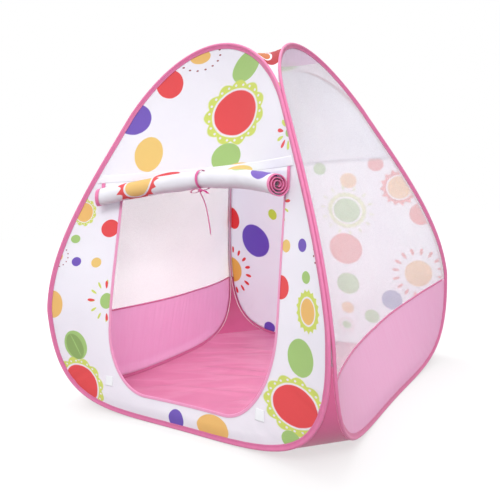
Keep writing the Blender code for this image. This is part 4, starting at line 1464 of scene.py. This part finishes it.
def foot_sheet():
    """The floor's cloth up to the hoops, before its corners are parted from it."""
    return plan_sheet(FOOT, False, 60, FLOOR_GAP, FLOOR_DROP, floor_relief)


floor_mesh = keep_within(foot_sheet(), FLOOR_SPREAD, FLOOR_GAP)
floor = finish_piece("floor", floor_mesh, floor_cloth, "front")
roof_mesh = plan_sheet(CREST, True, 40, ROOF_GAP, 0.0, roof_relief)
keep_within(roof_mesh, ROOF_TIP, ROOF_GAP)
roof = finish_piece("roof", roof_mesh, printed_roof, "front")

CORNERS = {
    "front_right": (0.0, "front", "right"),
    "back_right": (90.0, "right", "back"),
    "back_left": (180.0, "back", "left"),
    "front_left": (270.0, "left", "front"),
}
OUTWARDS = Vector((1, -1, 0)).normalized()
gussets = {}
corner_seams = {}
for corner, (angle, before, after) in CORNERS.items():
    gusset = foot_sheet()
    cut(gusset, OUTWARDS * (FLOOR_SPREAD - FLOOR_GAP) / math.sqrt(2), -OUTWARDS)
    cut(gusset, OUTWARDS * (GUSSET_TOP - FLOOR_GAP) / math.sqrt(2), OUTWARDS)
    gussets[corner] = finish_piece(
        f"gusset_{corner}", gusset, shaded_gusset_cloth, None, angle=angle
    )
    corner_seams[corner] = finish_piece(
        f"corner_seam_{corner}", corner_seam(), corner_cloth, None, angle=angle
    )
    turn = Matrix.Rotation(math.radians(angle), 3, "Z")
    for piece in (gussets[corner], corner_seams[corner]):
        if corner == "back_left":
            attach(piece, "back")
        else:
            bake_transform(piece)

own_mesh(floor)
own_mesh(roof)

for side, (sheer, skirt, tape) in side_cloths.items():
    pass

# Floor of the studio, lights and camera

stage_mesh = bmesh.new()
bmesh.ops.create_circle(stage_mesh, cap_ends=True, segments=64, radius=STAGE_RADIUS)
bmesh.ops.translate(stage_mesh, verts=stage_mesh.verts, vec=(0, 0, -STAGE_DROP))
stage_data = bpy.data.meshes.new("studio_floor")
stage_mesh.to_mesh(stage_data)
stage_mesh.free()
studio_floor = bpy.data.objects.new("studio_floor", stage_data)
bpy.context.scene.collection.objects.link(studio_floor)


def seen_directly(finish):
    """1 for rays that show the background itself: straight, mirrored or through."""
    path = finish.add("LightPath").outputs
    seen = finish.maths("MAXIMUM", path["Is Camera Ray"], path["Is Glossy Ray"])
    return finish.maths("MAXIMUM", seen, path["Is Transmission Ray"])


paper = bpy.data.materials.new("pale_studio_floor")
finish = start_finish(paper)
matte = finish.add("BsdfDiffuse", {"Color": PAPER_GREY}).outputs[0]
distance, _ = finish.polar(finish.add("TexCoord").outputs["Object"])
lift = finish.line(finish.line(distance, 0.6, -0.5, clamp=True), PAPER_GLOW_GROWTH, PAPER_GLOW)
strength = finish.times(seen_directly(finish), lift)
glow = finish.add("Emission", {"Color": PURE_WHITE, "Strength": strength}).outputs[0]
both = finish.add("AddShader", {0: matte, 1: glow}).outputs[0]
finish.add("OutputMaterial", {"Surface": both})
stage_data.materials.append(paper)

world = bpy.data.worlds.new("studio")
bpy.context.scene.world = world
finish = start_finish(world)
sky = finish.add("Background", {"Color": PURE_WHITE, "Strength": 1.0}).outputs[0]
finish.add("OutputWorld", {"Surface": sky})


def lamp(name, place, target, size, power, spread=180.0):
    """A round soft lamp that shines at a target and isn't seen itself."""
    light = bpy.data.lights.new(name, "AREA")
    light.shape = "DISK"
    light.size = size
    light.energy = power
    light.spread = math.radians(spread)
    item = bpy.data.objects.new(name, light)
    item.location = place
    item.rotation_euler = (Vector(target) - Vector(place)).to_track_quat("-Z", "Y").to_euler()
    item.visible_camera = False
    bpy.context.scene.collection.objects.link(item)


lamp("key", (1.6, -3.0, 3.0), (0, 0, 0.5), 1.6, 72)
lamp("fill", (-2.8, 0.6, 2.0), (0, 0, 0.45), 2.4, 50)
lamp("top", (-0.3, 0.6, 3.4), (0, 0, 0.5), 2.0, 32)
lamp("inside", (0, 0, 0.90), (0, 0, 0), 0.22, 0.6, 90.0)

lens = bpy.data.cameras.new("camera")
lens.lens = SENSOR_WIDTH * FOCAL_PIXELS / PHOTO_PIXELS
lens.sensor_width = SENSOR_WIDTH
camera = bpy.data.objects.new("camera", lens)
axes = Matrix((CAMERA_RIGHT, CAMERA_UP, CAMERA_RIGHT.cross(CAMERA_UP))).transposed().to_4x4()
camera.matrix_world = Matrix.Translation(CAMERA_PLACE) @ axes
bpy.context.scene.collection.objects.link(camera)
bpy.context.scene.camera = camera
bpy.context.scene.view_settings.view_transform = "Standard"
